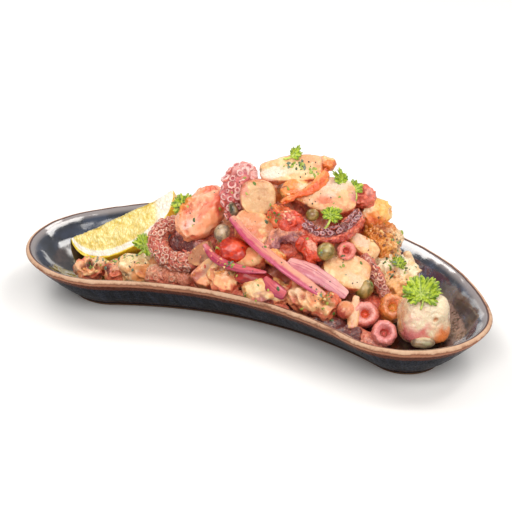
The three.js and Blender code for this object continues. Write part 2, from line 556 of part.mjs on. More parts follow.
    radius: 9, lobes: 5, narrow: 0.62, droop: 0.25, seed: 2 },
  { name: 'parsley_centre', kind: 'leaf', colour: 'leaf', at: [36, -29, 68], face: [0, 40, 40],
    radius: 7.5, lobes: 5, narrow: 0.8, droop: 0.3, seed: 3 },
  { name: 'parsley_right', kind: 'leaf', colour: 'leaf', at: [84, -47, 30.5], face: [10, 45, 20],
    radius: 11, lobes: 8, narrow: 0.9, droop: 0.2, seed: 4, points: 40 },
  { name: 'parsley_left', kind: 'leaf', colour: 'leaf', at: [-71, 12, 29], face: [-10, 45, 50],
    radius: 8.5, lobes: 5, narrow: 0.8, droop: 0.2, seed: 5 },
  { name: 'parsley_orange', kind: 'leaf', colour: 'leaf', at: [-48, -2, 62], face: [-20, 40, 20],
    radius: 5.5, lobes: 5, narrow: 0.8, droop: 0.2, seed: 6 },
];

// ---------------------------------------------------------------- assembly
function pieceSolid(piece, grow = 0) {
  if (piece.kind === 'arm') return armSolid(piece, grow);
  if (piece.kind === 'cup') return cupSolid(piece, grow);
  if (piece.kind === 'leaf') return solidOf(leafGeometry(piece, grow));
  return solidOf(morselGeometry(piece, grow));
}

// What later pieces are cut back by: the piece and a gap, with an arm's suckers under one
// smooth hull.
function cutterSolid(piece) {
  if (piece.kind !== 'arm') return pieceSolid(piece, GAP);
  const [halfWidth, halfDepth] = piece.size.slice(-2);
  const bulge = SUCKER.bulge * piece.sucker;
  const size = [halfWidth + bulge / 2, halfDepth + bulge];
  return solidOf(morselGeometry({ ...piece, sides: 9, size }, GAP));
}

function boxesMeet(a, b) {
  return [0, 1, 2].every((i) => a.min[i] <= b.max[i] && b.min[i] <= a.max[i]);
}

function largestPart(solid) {
  const parts = solid.decompose();
  return parts.reduce((best, part) => (part.volume() > best.volume() ? part : best));
}

// Cuts a solid back from everything placed before it and keeps its largest part.
function carved(solid, placed) {
  let result = solid;
  for (const { cutter, box } of placed) {
    if (boxesMeet(result.boundingBox(), box)) result = result.subtract(cutter);
  }
  return largestPart(result).simplify(TRIM);
}

function meshOf(name, solid, material) {
  const mesh = new THREE.Mesh(geometryOf(solid), material);
  mesh.name = name;
  return mesh;
}

const GLAZED = 0.25;          // roughness of the dish
const MOIST = 0.45;           // roughness of the food

const serving = new THREE.Group();
serving.add(meshOf('plate', solidOf(dishGeometry()), finish('glaze', GLAZED)));

const food = new THREE.Group();
food.rotation.z = SERVE_ANGLE;
serving.add(food);

const placed = [];
function place(name, solid, cutter, colour) {
  food.add(meshOf(name, carved(solid, placed), finish(colour, MOIST)));
  placed.push({ cutter, box: cutter.boundingBox() });
}

const dishCutter = solidOf(dishGeometry(GAP).rotateZ(-SERVE_ANGLE));
placed.push({ cutter: dishCutter, box: dishCutter.boundingBox() });
place('lemon_wedge', lemonSolid(), lemonSolid(GAP), 'lemon');
place('octopus_heap', heapSolid(), heapSolid(GAP), 'peach');
for (const piece of PIECES) {
  place(piece.name, pieceSolid(piece), cutterSolid(piece), piece.colour);
}

export default serving;
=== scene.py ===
"""Cooked octopus salad heaped in a kidney-shaped stoneware dish.

Lengths are millimetres and angles degrees unless a name says otherwise. The food is laid
out in the serving frame, x to the diner's right, y away and z up, and a mesh gets its place
when it is turned by SERVE_ANGLE about Z and scaled to metres, into the row's frame.
"""

import logging
import math
from collections.abc import Callable
from dataclasses import dataclass, replace
from enum import Enum
from itertools import product

import bpy
import numpy as np
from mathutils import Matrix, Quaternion, Vector
from mathutils.bvhtree import BVHTree
from numpy.typing import NDArray


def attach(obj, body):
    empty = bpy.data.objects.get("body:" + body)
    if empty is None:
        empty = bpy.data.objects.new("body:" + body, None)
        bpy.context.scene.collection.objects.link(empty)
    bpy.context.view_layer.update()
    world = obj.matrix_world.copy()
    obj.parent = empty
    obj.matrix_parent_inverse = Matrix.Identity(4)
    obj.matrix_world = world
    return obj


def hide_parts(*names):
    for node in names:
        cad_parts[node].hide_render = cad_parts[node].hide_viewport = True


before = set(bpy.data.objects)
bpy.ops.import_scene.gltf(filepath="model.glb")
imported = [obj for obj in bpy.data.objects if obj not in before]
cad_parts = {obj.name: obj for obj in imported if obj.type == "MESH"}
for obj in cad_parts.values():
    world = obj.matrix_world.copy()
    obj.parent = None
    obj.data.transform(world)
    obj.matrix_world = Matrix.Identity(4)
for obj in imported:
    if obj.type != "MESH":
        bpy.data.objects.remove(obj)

log = logging.getLogger("octopus_salad")
logging.basicConfig(level=logging.INFO, format="%(message)s")

Array = NDArray[np.float64]
Triple = tuple[float, float, float]
Pair = tuple[float, float]

MM = 0.001
TINY = 1e-12
SERVE_ANGLE = math.radians(28.7)


# ------------------------------------------------------------------ colour
def srgb(code: str) -> Triple:
    """Linear red, green and blue of a hex code.

    Args:
        code: Six hex digits, as on a colour chart.

    Returns:
        ((c + 0.055) / 1.055) ** 2.4 for each share c, and c / 12.92 below 0.04045.
    """
    shares = (int(code[k : k + 2], 16) / 255 for k in (0, 2, 4))
    return tuple(c / 12.92 if c < 0.04045 else ((c + 0.055) / 1.055) ** 2.4 for c in shares)


# ------------------------------------------------------------------ numbers on arrays
def unit(vectors: Array) -> Array:
    """Vectors scaled to length one, v / |v|."""
    return vectors / np.maximum(np.linalg.norm(vectors, axis=-1, keepdims=True), TINY)


def circle(count: int) -> Array:
    """Angles evenly round a circle from 0, in radians."""
    return np.linspace(0, 2 * np.pi, count, endpoint=False)


def smooth_step(low: float, high: float, value: Array) -> Array:
    """t * t * (3 - 2 t), with t the place of value between low and high, held to 0..1."""
    t = np.clip((value - low) / (high - low), 0.0, 1.0)
    return t * t * (3 - 2 * t)


def signed_power(value: Array, exponent: float) -> Array:
    """sign(v) * |v| ** exponent."""
    return np.sign(value) * np.abs(value) ** exponent


OBLIQUE = np.array([[0.80, -0.36, 0.48], [0.60, 0.48, -0.64], [0.0, 0.80, 0.60]])
HASH_X, HASH_Y, HASH_Z = 374761393, 668265263, 2147483647
HASH_SEED, HASH_MIX = 1442695041, 1274126177
LOW_32, LOW_16 = 0xFFFFFFFF, 0xFFFF


def lattice_noise(points: Array, pitch: float, seed: int) -> Array:
    """Smooth noise from -1 to 1.

    Each corner of an oblique cubic lattice has a random value, made from its whole-number
    place, and a point blends the eight corners round it with t ** 3 (6 t ** 2 - 15 t + 10)
    along each axis.

    Args:
        points: Places, with x, y, z last.
        pitch: Size of a lattice cell.
        seed: Chooses the random values.

    Returns:
        One value for each point.
    """
    place = points @ OBLIQUE / pitch
    base = np.floor(place).astype(np.int64)
    t = place - base
    t = t**3 * (t * (6 * t - 15) + 10)
    total = np.zeros(points.shape[:-1])
    for corner in product((0, 1), repeat=3):
        cell = base + np.array(corner)
        key = cell[..., 0] * HASH_X + cell[..., 1] * HASH_Y + cell[..., 2] * HASH_Z
        key = (key + seed * HASH_SEED) & LOW_32
        key = ((key ^ (key >> 13)) * HASH_MIX) & LOW_32
        key = key ^ (key >> 16)
        weight = np.prod(np.where(corner, t, 1 - t), axis=-1)
        total += weight * ((key & LOW_16) / (LOW_16 / 2) - 1)
    return total


def even_samples(curve: Array, count: int) -> Array:
    """Places along a polyline that are evenly far apart.

    Args:
        curve: Points of a fine polyline, one row each.
        count: Number of places.

    Returns:
        Fractional row numbers, the first and last row included.
    """
    steps = np.linalg.norm(np.diff(curve, axis=0), axis=1)
    length = np.concatenate([[0.0], np.cumsum(steps)])
    return np.interp(np.linspace(0, length[-1], count), length, np.arange(len(curve)))


def list_value(values: tuple[float, ...], share: Array) -> Array:
    """Value at a share of an evenly spaced list, on the Catmull-Rom curve through it.

    Args:
        values: The list.
        share: Shares of its length, from 0 to 1.

    Returns:
        The value at each share.
    """
    padded = np.array([values[0], *values, values[-1]])
    place = np.clip(share, 0, 1) * (len(values) - 1)
    step = np.minimum(place.astype(int), len(values) - 2)
    t = place - step
    a, b, c, d = (padded[step + k] for k in range(4))
    return b + 0.5 * t * (c - a + t * (2 * a - 5 * b + 4 * c - d + t * (3 * (b - c) + d - a)))


@dataclass(frozen=True)
class CentreLine:
    """A centripetal Catmull-Rom curve through a few points."""

    points: tuple[Triple, ...]

    def at(self, share: Array) -> Array:
        """Points of the curve.

        On each stretch the curve is the cubic whose end slopes are those of the parabolas
        through neighbouring points, spaced by the square roots of their distances.

        Args:
            share: Places from 0, the first point, to 1, the last.

        Returns:
            One point for each place.
        """
        p = np.asarray(self.points, dtype=float)
        padded = np.vstack([2 * p[0] - p[1], p, 2 * p[-1] - p[-2]])
        place = np.clip(share, 0, 1) * (len(p) - 1)
        step = np.minimum(place.astype(int), len(p) - 2)
        t = (place - step)[:, None]
        a, b, c, d = (padded[step + k] for k in range(4))
        ab, bc, cd = (
            np.sqrt(np.linalg.norm(q - r, axis=1, keepdims=True)) for r, q in ((a, b), (b, c), (c, d))
        )
        start = ((b - a) / ab - (c - a) / (ab + bc) + (c - b) / bc) * bc
        end = ((c - b) / bc - (d - b) / (bc + cd) + (d - c) / cd) * bc
        return (b + start * t + (3 * (c - b) - 2 * start - end) * t**2 + (2 * (b - c) + start + end) * t**3)

    def tangent(self, share: Array) -> Array:
        """Unit vectors along the curve, from points a little before and after."""
        step = 1e-4
        return unit(self.at(np.minimum(share + step, 1)) - self.at(np.maximum(share - step, 0)))


def axes_of(face: Triple) -> tuple[Array, Array, Array]:
    """Unit axes of a piece, along, across and out of its face.

    Args:
        face: Turn, lean and roll. The face looks to the diner at turn 0 and lean 0, to the
            diner's right as turn grows and up as lean grows; roll turns the piece
            counterclockwise in that face.

    Returns:
        The three axes.
    """
    turn, lean, roll = (math.radians(angle) for angle in face)
    out = np.array([math.sin(turn) * math.cos(lean), -math.cos(turn) * math.cos(lean), math.sin(lean)])
    right = np.array([math.cos(turn), math.sin(turn), 0.0])
    up = np.cross(out, right)
    along = right * math.cos(roll) + up * math.sin(roll)
    return along, np.cross(out, along), out


# ------------------------------------------------------------------ closed skins
@dataclass
class Skin:
    """A closed surface of rings, from a first pole to a last, with fields on its points."""

    rings: Array
    first: Array
    last: Array
    share: Array
    flow: Array
    hide: Array
    paint: Array
    # pit: where the finish paints shade, in the relief's hollows and in the leaves' folds
    pit: Array
    finish: int = 0
    bands: Array | None = None

    def normals(self) -> Array:
        """Unit normals of the rings' points, the cross product of the two grid directions.

        Returns:
            The normals, pointing outwards.
        """
        down = np.gradient(self.rings, axis=0)
        round_ = np.roll(self.rings, -1, axis=1) - np.roll(self.rings, 1, axis=1)
        normal = unit(np.cross(down, round_))
        outward = self.rings - self.rings.mean(axis=1, keepdims=True)
        sign = np.sign((normal * outward).sum(axis=-1).mean())
        return normal * (sign if sign else 1.0)

    def close(self) -> None:
        """Moves each pole to the middle of its nearest ring."""
        self.first = self.rings[0].mean(axis=0)
        self.last = self.rings[-1].mean(axis=0)


def blank_skin(
    rings: Array, first: Array | None = None, last: Array | None = None, finish: int = 0
) -> Skin:
    """A skin with empty fields, its places as flow, and each pole in its ring's middle or given.

    Args:
        rings: Points, ring by ring.
        first: Pole before the first ring, or None for its middle.
        last: Pole after the last ring, or None for its middle.
        finish: Number of its finish among the piece's materials.

    Returns:
        The skin.
    """
    shape = rings.shape[:2]
    return Skin(
        rings=rings,
        first=rings[0].mean(axis=0) if first is None else np.asarray(first, dtype=float),
        last=rings[-1].mean(axis=0) if last is None else np.asarray(last, dtype=float),
        share=np.zeros((*shape, 3)),
        flow=rings.copy(),
        hide=np.zeros(shape),
        paint=np.zeros((*shape, 4)),
        pit=np.zeros(shape),
        finish=finish,
    )


class MeshMaker:
    """Gathers skins into one Blender object."""

    def __init__(self, name: str) -> None:
        """Starts an empty piece.

        Args:
            name: Name of the object.
        """
        self.name = name
        self.skins: list[Skin] = []

    def add(self, *skins: Skin) -> None:
        """Adds skins."""
        self.skins.extend(skins)

    @staticmethod
    def indices(rings: int, sides: int) -> tuple[Array, Array]:
        """Quads between the rings and triangles at the poles, as vertex numbers.

        Args:
            rings: Number of rings.
            sides: Number of points on a ring.

        Returns:
            The quads and the triangles, one a row.
        """
        ring = np.arange(rings - 1)[:, None] * sides
        side = np.arange(sides)[None, :]
        after = (side + 1) % sides
        quads = np.stack(
            [ring + side, ring + after, ring + sides + after, ring + sides + side], axis=-1
        ).reshape(-1, 4)
        side, after = side[0], after[0]
        total = rings * sides
        top = np.stack([np.full(sides, total), after, side], axis=-1)
        low = (rings - 1) * sides
        bottom = np.stack([np.full(sides, total + 1), low + side, low + after], axis=-1)
        return quads, np.vstack([top, bottom])

    @staticmethod
    def _volume(points: Array, quads: Array, triangles: Array) -> float:
        """Six times the enclosed volume, the sum of a . (b x c) over the faces.

        Args:
            points: Places of the vertices.
            quads: Vertex numbers of the quads.
            triangles: Vertex numbers of the triangles.

        Returns:
            The volume, below zero where the faces point inwards.
        """
        halves = np.vstack([quads[:, [0, 1, 2]], quads[:, [0, 2, 3]], triangles])
        a, b, c = (points[halves[:, k]] for k in range(3))
        return float(np.einsum("ij,ij->", a, np.cross(b, c)))

    def build(self, finishes: list[bpy.types.Material], turn: float = SERVE_ANGLE) -> bpy.types.Object:
        """Makes the object.

        Args:
            finishes: Its materials, in the order that the skins count them.
            turn: Angle from the frame of the skins to the row's frame, in radians.

        Returns:
            The object, linked to the scene and placed in its mesh.
        """
        points, quads, triangles, marks_q, marks_t = [], [], [], [], []
        fields: dict[str, list[Array]] = {"share": [], "flow": [], "hide": [], "paint": [], "pit": []}
        start = 0
        for skin in self.skins:
            count, sides = skin.rings.shape[:2]
            four, three = self.indices(count, sides)
            own = np.vstack([skin.rings.reshape(-1, 3), skin.first, skin.last])
            if self._volume(own, four, three) < 0:
                four, three = four[:, ::-1], three[:, ::-1]
            points.append(own)
            quads.append(four + start)
            triangles.append(three + start)
            bands = np.full(count, skin.finish) if skin.bands is None else skin.bands
            marks_q.append(np.repeat(bands[:-1], sides))
            marks_t.append(np.repeat(bands[[0, -1]], sides))
            for name, rows in fields.items():
                values = getattr(skin, name)
                flat = values.reshape(count * sides, -1)
                poles = [values[end].reshape(sides, -1).mean(axis=0) for end in (0, -1)]
                rows.append(np.vstack([flat, *poles]))
            start += len(own)
        place = np.vstack(points) * MM
        cos, sin = math.cos(turn), math.sin(turn)
        place = np.stack(
            [place[:, 0] * cos - place[:, 1] * sin, place[:, 0] * sin + place[:, 1] * cos, place[:, 2]],
            axis=-1,
        )
        four, three = np.vstack(quads), np.vstack(triangles)
        mesh = bpy.data.meshes.new(self.name)
        mesh.vertices.add(len(place))
        mesh.vertices.foreach_set("co", place.ravel())
        loops = np.concatenate([four.ravel(), three.ravel()]).astype(np.int32)
        mesh.loops.add(len(loops))
        mesh.loops.foreach_set("vertex_index", loops)
        starts = np.concatenate(
            [np.arange(len(four)) * 4, len(four) * 4 + np.arange(len(three)) * 3]
        ).astype(np.int32)
        mesh.polygons.add(len(starts))
        mesh.polygons.foreach_set("loop_start", starts)
        marks = np.concatenate([*marks_q, *marks_t]).astype(np.int32)
        mesh.polygons.foreach_set("material_index", marks)
        mesh.polygons.foreach_set("use_smooth", np.ones(len(starts), dtype=bool))
        for name, kind, key in (
            ("share", "FLOAT_VECTOR", "vector"),
            ("flow", "FLOAT_VECTOR", "vector"),
            ("hide", "FLOAT", "value"),
            ("pit", "FLOAT", "value"),
            ("paint", "FLOAT_COLOR", "color"),
        ):
            layer = mesh.attributes.new(name, kind, "POINT")
            layer.data.foreach_set(key, np.vstack(fields[name]).ravel())
        mesh.update(calc_edges=True)
        mesh.validate()
        for material in finishes:
            mesh.materials.append(material)
        obj = bpy.data.objects.new(self.name, mesh)
        bpy.context.scene.collection.objects.link(obj)
        return obj


def settle(obj: bpy.types.Object, slot: str, *nodes: str) -> None:
    """Rides a piece on the dish's body in place of its CAD nodes and reports it.

    Args:
        obj: The piece.
        slot: The record's material slot that its finish comes from; not used.
        nodes: The CAD nodes that it stands for.
    """
    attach(obj, "root")
    if nodes:
        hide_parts(*nodes)
    log.info("%s: %d faces", obj.name, len(obj.data.polygons))


# ------------------------------------------------------------------ shader graph
class Graph:
    """Short calls for the nodes of one node tree."""

    def __init__(self, tree: bpy.types.NodeTree) -> None:
        """Works on a tree.

        Args:
            tree: A material's tree or a group.
        """
        self.tree = tree

    def node(self, kind: str, **settings: object) -> bpy.types.Node:
        """Adds a node and sets its own properties.

        Args:
            kind: The node's type.
            settings: Its properties, by name.

        Returns:
            The node.
        """
        node = self.tree.nodes.new(kind)
        for key, value in settings.items():
            setattr(node, key, value)
        return node

    def join(self, value: object, socket: bpy.types.NodeSocket) -> None:
        """Links a socket into another, or sets a plain value or a hex code's colour on it.

        Args:
            value: A socket, a number, a tuple or a hex code.
            socket: The input that it goes to.
        """
        if isinstance(value, str):
            value = srgb(value)
        if isinstance(value, bpy.types.NodeSocket):
            self.tree.links.new(value, socket)
        elif isinstance(value, tuple) and socket.type == "RGBA":
            socket.default_value = (*value[:3], 1.0)
        else:
            socket.default_value = value

    def mix(self, factor: object, a: object, b: object, blend: str = "MIX") -> bpy.types.NodeSocket:
        """Colour between a and b.

        Args:
            factor: Share of b.
            a: Colour at 0.
            b: Colour at 1.
            blend: The way they are mixed.

        Returns:
            The colour.
        """
        node = self.node("ShaderNodeMix", data_type="RGBA", blend_type=blend, clamp_factor=True)
        for value, place in ((factor, 0), (a, 6), (b, 7)):
            self.join(value, node.inputs[place])
        return node.outputs[2]

    def math(self, operation: str, a: object, b: object) -> bpy.types.NodeSocket:
        """A sum on two numbers.

        Args:
            operation: The operation.
            a: First number.
            b: Second number.

        Returns:
            The result.
        """
        node = self.node("ShaderNodeMath", operation=operation)
        self.join(a, node.inputs[0])
        self.join(b, node.inputs[1])
        return node.outputs[0]

    def plus(self, a: object, b: object) -> bpy.types.NodeSocket:
        """The sum of two numbers."""
        return self.math("ADD", a, b)

    def times(self, a: object, b: object) -> bpy.types.NodeSocket:
        """The product of two numbers."""
        return self.math("MULTIPLY", a, b)

    def sway(self, noise: object, width: float) -> bpy.types.NodeSocket:
        """Noise from 0 to 1 moved to lie about 0 and scaled to a width."""
        return self.times(self.math("SUBTRACT", noise, 0.5), width)

    def between(self, value: object, low: float, high: float, to: Pair = (0.0, 1.0)) -> bpy.types.NodeSocket:
        """Number that goes smoothly from one end of a range to the other.

        Args:
            value: The number that is looked up.
            low: Start of its range.
            high: End of its range.
            to: Results at the start and at the end.

        Returns:
            The result.
        """
        node = self.node("ShaderNodeMapRange", interpolation_type="SMOOTHSTEP", clamp=True)
        for entry, place in ((value, 0), (low, 1), (high, 2), (to[0], 3), (to[1], 4)):
            self.join(entry, node.inputs[place])
        return node.outputs[0]

    def over(
        self, colour: object, tint: object, value: object, low: float, high: float, to: Pair = (0.0, 1.0)
    ) -> bpy.types.NodeSocket:
        """Colour with a tint over it where a number goes from low to high."""
        return self.mix(self.between(value, low, high, to), colour, tint)

    def noise(
        self, vector: object, scale: float, detail: float = 3.0, rough: float = 0.55
    ) -> bpy.types.NodeSocket:
        """Noise from 0 to 1 on a vector.

        Args:
            vector: Places.
            scale: How fine it is.
            detail: Number of octaves.
            rough: Weight of the finer octaves.

        Returns:
            The noise.
        """
        node = self.node("ShaderNodeTexNoise")
        self.feed(node.inputs, {"Vector": vector, "Scale": scale, "Detail": detail, "Roughness": rough})
        return node.outputs[0]

    def cells(self, vector: object, scale: float) -> bpy.types.NodeSocket:
        """Distance from the middles of random cells.

        Args:
            vector: Places.
            scale: How fine the cells are.

        Returns:
            The distance.
        """
        node = self.node("ShaderNodeTexVoronoi")
        self.feed(node.inputs, {"Vector": vector, "Scale": scale})
        return node.outputs["Distance"]

    def stretch(self, vector: object, scale: Triple) -> bpy.types.NodeSocket:
        """A vector scaled along each axis.

        Args:
            vector: The vector.
            scale: Factor along each axis.

        Returns:
            The scaled vector.
        """
        node = self.node("ShaderNodeMapping")
        self.feed(node.inputs, {"Vector": vector, "Scale": scale})
        return node.outputs[0]

    def bump(self, height: object, depth: float, strength: float = 1.0) -> bpy.types.NodeSocket:
        """Normal of a relief, with its depth in metres for a height of one.

        Args:
            height: The relief.
            depth: Metres for a height of one.
            strength: Share of the effect.

        Returns:
            The normal.
        """
        node = self.node("ShaderNodeBump")
        self.feed(node.inputs, {"Height": height, "Distance": depth, "Strength": strength})
        return node.outputs[0]

    def field(self, name: str, output: str) -> bpy.types.NodeSocket:
        """A field that the mesh carries."""
        return self.node("ShaderNodeAttribute", attribute_name=name).outputs[output]

    def split(self, vector: object) -> bpy.types.NodeOutputs:
        """The three numbers of a vector.

        Args:
            vector: The vector.

        Returns:
            Outputs for x, y and z.
        """
        node = self.node("ShaderNodeSeparateXYZ")
        self.join(vector, node.inputs[0])
        return node.outputs

    def feed(self, inputs: bpy.types.NodeInputs, values: dict[str, object]) -> None:
        """Joins values to the inputs of the same names."""
        for name, value in values.items():
            self.join(value, inputs[name])

    def group(self, name: str, make: Callable[[], bpy.types.NodeTree]) -> bpy.types.Node:
        """A node of the group with this name, which is made the first time.

        Args:
            name: The group's name.
            make: Makes the group.

        Returns:
            The node.
        """
        node = self.node("ShaderNodeGroup")
        node.node_tree = bpy.data.node_groups.get(name) or make()
        return node


class Finish:
    """A finish, whose material is made once and then found by its name."""

    name: str
    slot: str

    def material(self) -> bpy.types.Material:
        """The material.

        Returns:
            The material, dressed.
        """
        found = bpy.data.materials.get(self.name)
        if found is None:
            found = bpy.data.materials.new(self.name)
            found.use_nodes = True
            shader = found.node_tree.nodes["Principled BSDF"]
            self.dress(Graph(found.node_tree), shader.inputs)
        return found

    def dress(self, g: Graph, shader: bpy.types.NodeInputs) -> None:
        """Makes the nodes that feed the shader.

        Args:
            g: Graph of the material.
            shader: Inputs of its Principled shader.
        """
        raise NotImplementedError


def new_group(name: str, inputs: dict[str, str], outputs: dict[str, str]) -> bpy.types.NodeTree:
    """An empty shader node group with named sockets.

    Args:
        name: Name of the group.
        inputs: Socket kinds by name, Float, Color or Vector.
        outputs: The same for the outputs.

    Returns:
        The group, with its input and output nodes named in and out.
    """
    tree = bpy.data.node_groups.new(name, "ShaderNodeTree")
    for sockets, side in ((inputs, "INPUT"), (outputs, "OUTPUT")):
        for label, kind in sockets.items():
            tree.interface.new_socket(name=label, in_out=side, socket_type=f"NodeSocket{kind}")
    tree.nodes.new("NodeGroupInput").name = "in"
    tree.nodes.new("NodeGroupOutput").name = "out"
    return tree


def flesh_group() -> bpy.types.NodeTree:
    """The group that colours cooked flesh, with blotches, fibres, knobbly hide and paint.

    Cut flesh lies between two tints by large and small noise, has specks of the hide's darker
    tint, is darker along its fibres and blushes with the hide's colour near the hide. Hide lies
    between two tints as well, and its small knobs get a painted highlight on top and painted
    shade in the seams between them. Hide covers flesh where the hide field is high, with an
    uneven edge, and paint covers both the same way. Pits get painted shade as well.

    Returns:
        The group.
    """
    tree = new_group(
        "cooked flesh",
        {
            "Flow": "Vector", "Hide": "Float", "Pit": "Float", "Paint": "Color",
            "Paint Cover": "Float", "Flesh": "Color", "Flesh Shade": "Color", "Skin": "Color",
            "Skin Shade": "Color", "Dark": "Color", "Knobs": "Float", "Fibres": "Float",
        },
        {"Color": "Color", "Roughness": "Float", "Normal": "Vector"},
    )
    g = Graph(tree)
    given = tree.nodes["in"].outputs
    blotch = g.noise(given["Flow"], 0.14, 2.0)
    patch = g.noise(given["Flow"], 0.36, 4.0, 0.6)
    grain = g.noise(given["Flow"], 1.1, 4.0, 0.65)
    strand = g.noise(g.stretch(given["Flow"], (0.22, 1.3, 1.3)), 0.9, 3.0)
    bend = g.node("ShaderNodeVectorMath", operation="MULTIPLY_ADD")
    g.join(given["Flow"], bend.inputs[2])
    g.join(g.math("SUBTRACT", patch, 0.5), bend.inputs[0])
    bend.inputs[1].default_value = (3.0, 3.0, 3.0)
    knob = g.cells(bend.outputs[0], 0.62)
    ragged = g.sway(grain, 0.8)
    worn = g.plus(ragged, g.sway(patch, 0.9))
    tint = g.plus(g.times(blotch, 0.55), g.times(patch, 0.45))
    flesh = g.over(given["Flesh"], given["Flesh Shade"], tint, 0.41, 0.58)
    flesh = g.over(flesh, given["Skin Shade"], grain, 0.6, 0.74, (0.0, 0.35))
    groove = g.times(g.between(strand, 0.5, 0.72), given["Fibres"])
    flesh = g.mix(groove, flesh, g.mix(0.45, given["Flesh Shade"], given["Skin"]))
    blush = g.between(g.plus(given["Hide"], worn), 0.0, 0.75, (0.0, 0.55))
    flesh = g.mix(blush, flesh, given["Skin"])
    hide = g.over(given["Skin"], given["Skin Shade"], patch, 0.36, 0.62)
    # seam and crown mask the knobs' edges and middles: painted shade goes in the seams, a painted highlight
    # on the tops
    seam = g.times(g.between(knob, 0.42, 0.62), given["Knobs"])
    crown = g.times(g.between(knob, 0.3, 0.1), given["Knobs"])
    cover = g.between(g.plus(given["Hide"], worn), 0.3, 0.8)
    colour = g.mix(cover, flesh, hide)
    daub = g.between(g.plus(given["Paint Cover"], worn), 0.1, 0.9)
    paint = g.over(given["Paint"], given["Skin Shade"], grain, 0.45, 0.7, (0.2, 0.0))
    colour = g.mix(daub, colour, paint)
    shown = g.plus(g.times(cover, 0.75), 0.25)
    # painted shade: the dark colour laid into the seams between knobs
    colour = g.mix(g.times(g.times(seam, shown), 0.55), colour, given["Dark"])
    # painted highlight: the pale flesh colour laid on the knobs' tops
    colour = g.mix(g.times(g.times(crown, shown), 0.6), colour, given["Flesh"])
    # painted shade in the pits: where the pit field is high the colour is multiplied towards the hide's
    # darker tint and the dark colour
    dark = g.mix(0.45, given["Skin Shade"], given["Dark"])
    pit = g.times(given["Pit"], g.between(grain, 0.7, 0.35, (0.55, 1.0)))
    colour = g.mix(pit, colour, g.mix(0.85, colour, dark, "MULTIPLY"))
    height = g.plus(g.times(grain, 0.9), g.times(groove, -0.5))
    dome = g.times(g.times(knob, given["Knobs"]), -2.4)
    height = g.plus(height, g.times(dome, shown))
    height = g.plus(height, g.times(patch, 0.8))
    out = tree.nodes["out"].inputs
    g.join(colour, out["Color"])
    g.join(g.between(worn, -0.3, 0.3, (0.16, 0.42)), out["Roughness"])
    g.join(g.bump(height, 0.0005, 0.9), out["Normal"])
    return tree


@dataclass(frozen=True)
class Flesh(Finish):
    """Finish of cooked octopus: cut flesh and hide, each in two tints, and the dark colour of the painted
    shade in its seams and pits.
    """

    name: str
    flesh: str
    flesh_shade: str
    skin: str
    skin_shade: str
    # dark: colour of the painted shade in the seams between knobs and in the pits
    dark: str
    knobs: float = 0.4
    fibres: float = 0.3
    slot: str = "octopus_cream"

    def dress(self, g: Graph, shader: bpy.types.NodeInputs) -> None:
        """Feeds the cooked flesh group with this finish's own values.

        Args:
            g: The material's nodes.
            shader: Inputs of the material's shader.
        """
        group = g.group("cooked flesh", flesh_group)
        g.feed(group.inputs, {
            "Flow": g.field("flow", "Vector"), "Hide": g.field("hide", "Fac"), "Pit": g.field("pit", "Fac"),
            "Paint": g.field("paint", "Color"), "Paint Cover": g.field("paint", "Alpha"),
            "Flesh": self.flesh, "Flesh Shade": self.flesh_shade, "Skin": self.skin,
            "Skin Shade": self.skin_shade, "Dark": self.dark, "Knobs": self.knobs, "Fibres": self.fibres,
        })
        g.feed(shader, {
            "Base Color": group.outputs["Color"], "Roughness": group.outputs["Roughness"],
            "Normal": group.outputs["Normal"], "Subsurface Weight": 0.15,
            "Subsurface Radius": (1.0, 0.45, 0.3), "Subsurface Scale": 0.0025, "Coat Weight": 0.45,
            "Coat Roughness": 0.1,
        })


# The fifth colour of each flesh finish is the dark one, used for painted shade in seams and pits.
CREAM = Flesh("cream flesh", "F8DAA4", "F0B070", "EC9464", "D06440", "8C4028", 0.0, 0.25)
CRUMBLY = Flesh("crumbly flesh", "FAE2B4", "F4C488", "F2AC6C", "E08844", "94501C", 0.3, 0.3)
PEACH = Flesh("peach flesh", "F8C48C", "F09C68", "F08860", "D86444", "8C3828", 0.3, 0.4, "octopus_peach")
CORAL = Flesh("coral hide", "FCC8A0", "F89C74", "F48060", "DC583C", "8C2C24", 0.6, 0.3, "octopus_coral")
ORANGE = Flesh("orange hide", "FFDCA4", "FFBC68", "FFA458", "F88C40", "A85020", 0.3, 0.3, "octopus_orange")
RUST = Flesh("rusty crust", "FCDCA0", "F8B45C", "F49C44", "E0802C", "9C5010", 0.65, 0.3, "octopus_rust")
PINK = Flesh("pink hide", "FCD0B4", "F4A484", "F09674", "DC6E54", "943C40", 0.65, 0.25, "octopus_pink")
ROSE = Flesh("smooth rose hide", "FCD0BC", "F4A48C", "F0907C", "DC6C64", "983C44", 0.2, 0.2, "octopus_pink")
MAUVE = Flesh("mauve hide", "F8BCA4", "E29C8C", "D28C84", "AC686C", "5C2440", 0.6, 0.3, "octopus_mauve")
RED = Flesh("red hide", "FC9C70", "F07040", "EC502C", "CC3818", "7C1C16", 0.5, 0.35, "octopus_red")
GLOSSY = Flesh("glossy mantle", "FCBE98", "FAA070", "F88C5C", "EC6C3C", "A84C2C", 0.12, 0.3, "octopus_orange")
SHADE = Flesh("inner flesh", "FCB490", "EC8468", "E87C60", "C45C50", "74302C", 0.6, 0.4, "octopus_peach")


# ------------------------------------------------------------------ morsels
@dataclass(frozen=True)
class Build:
    """How full an outline stays to its ends, in width and depth, how square its section is,
    how lumpy it is, its relief in millimetres, coarse, medium and fine, and how far its
    knife cuts lean off the plane of its face."""

    ends: float
    flats: float
    section: float
    lumps: float
    relief: Triple
    lean: float = 0.7


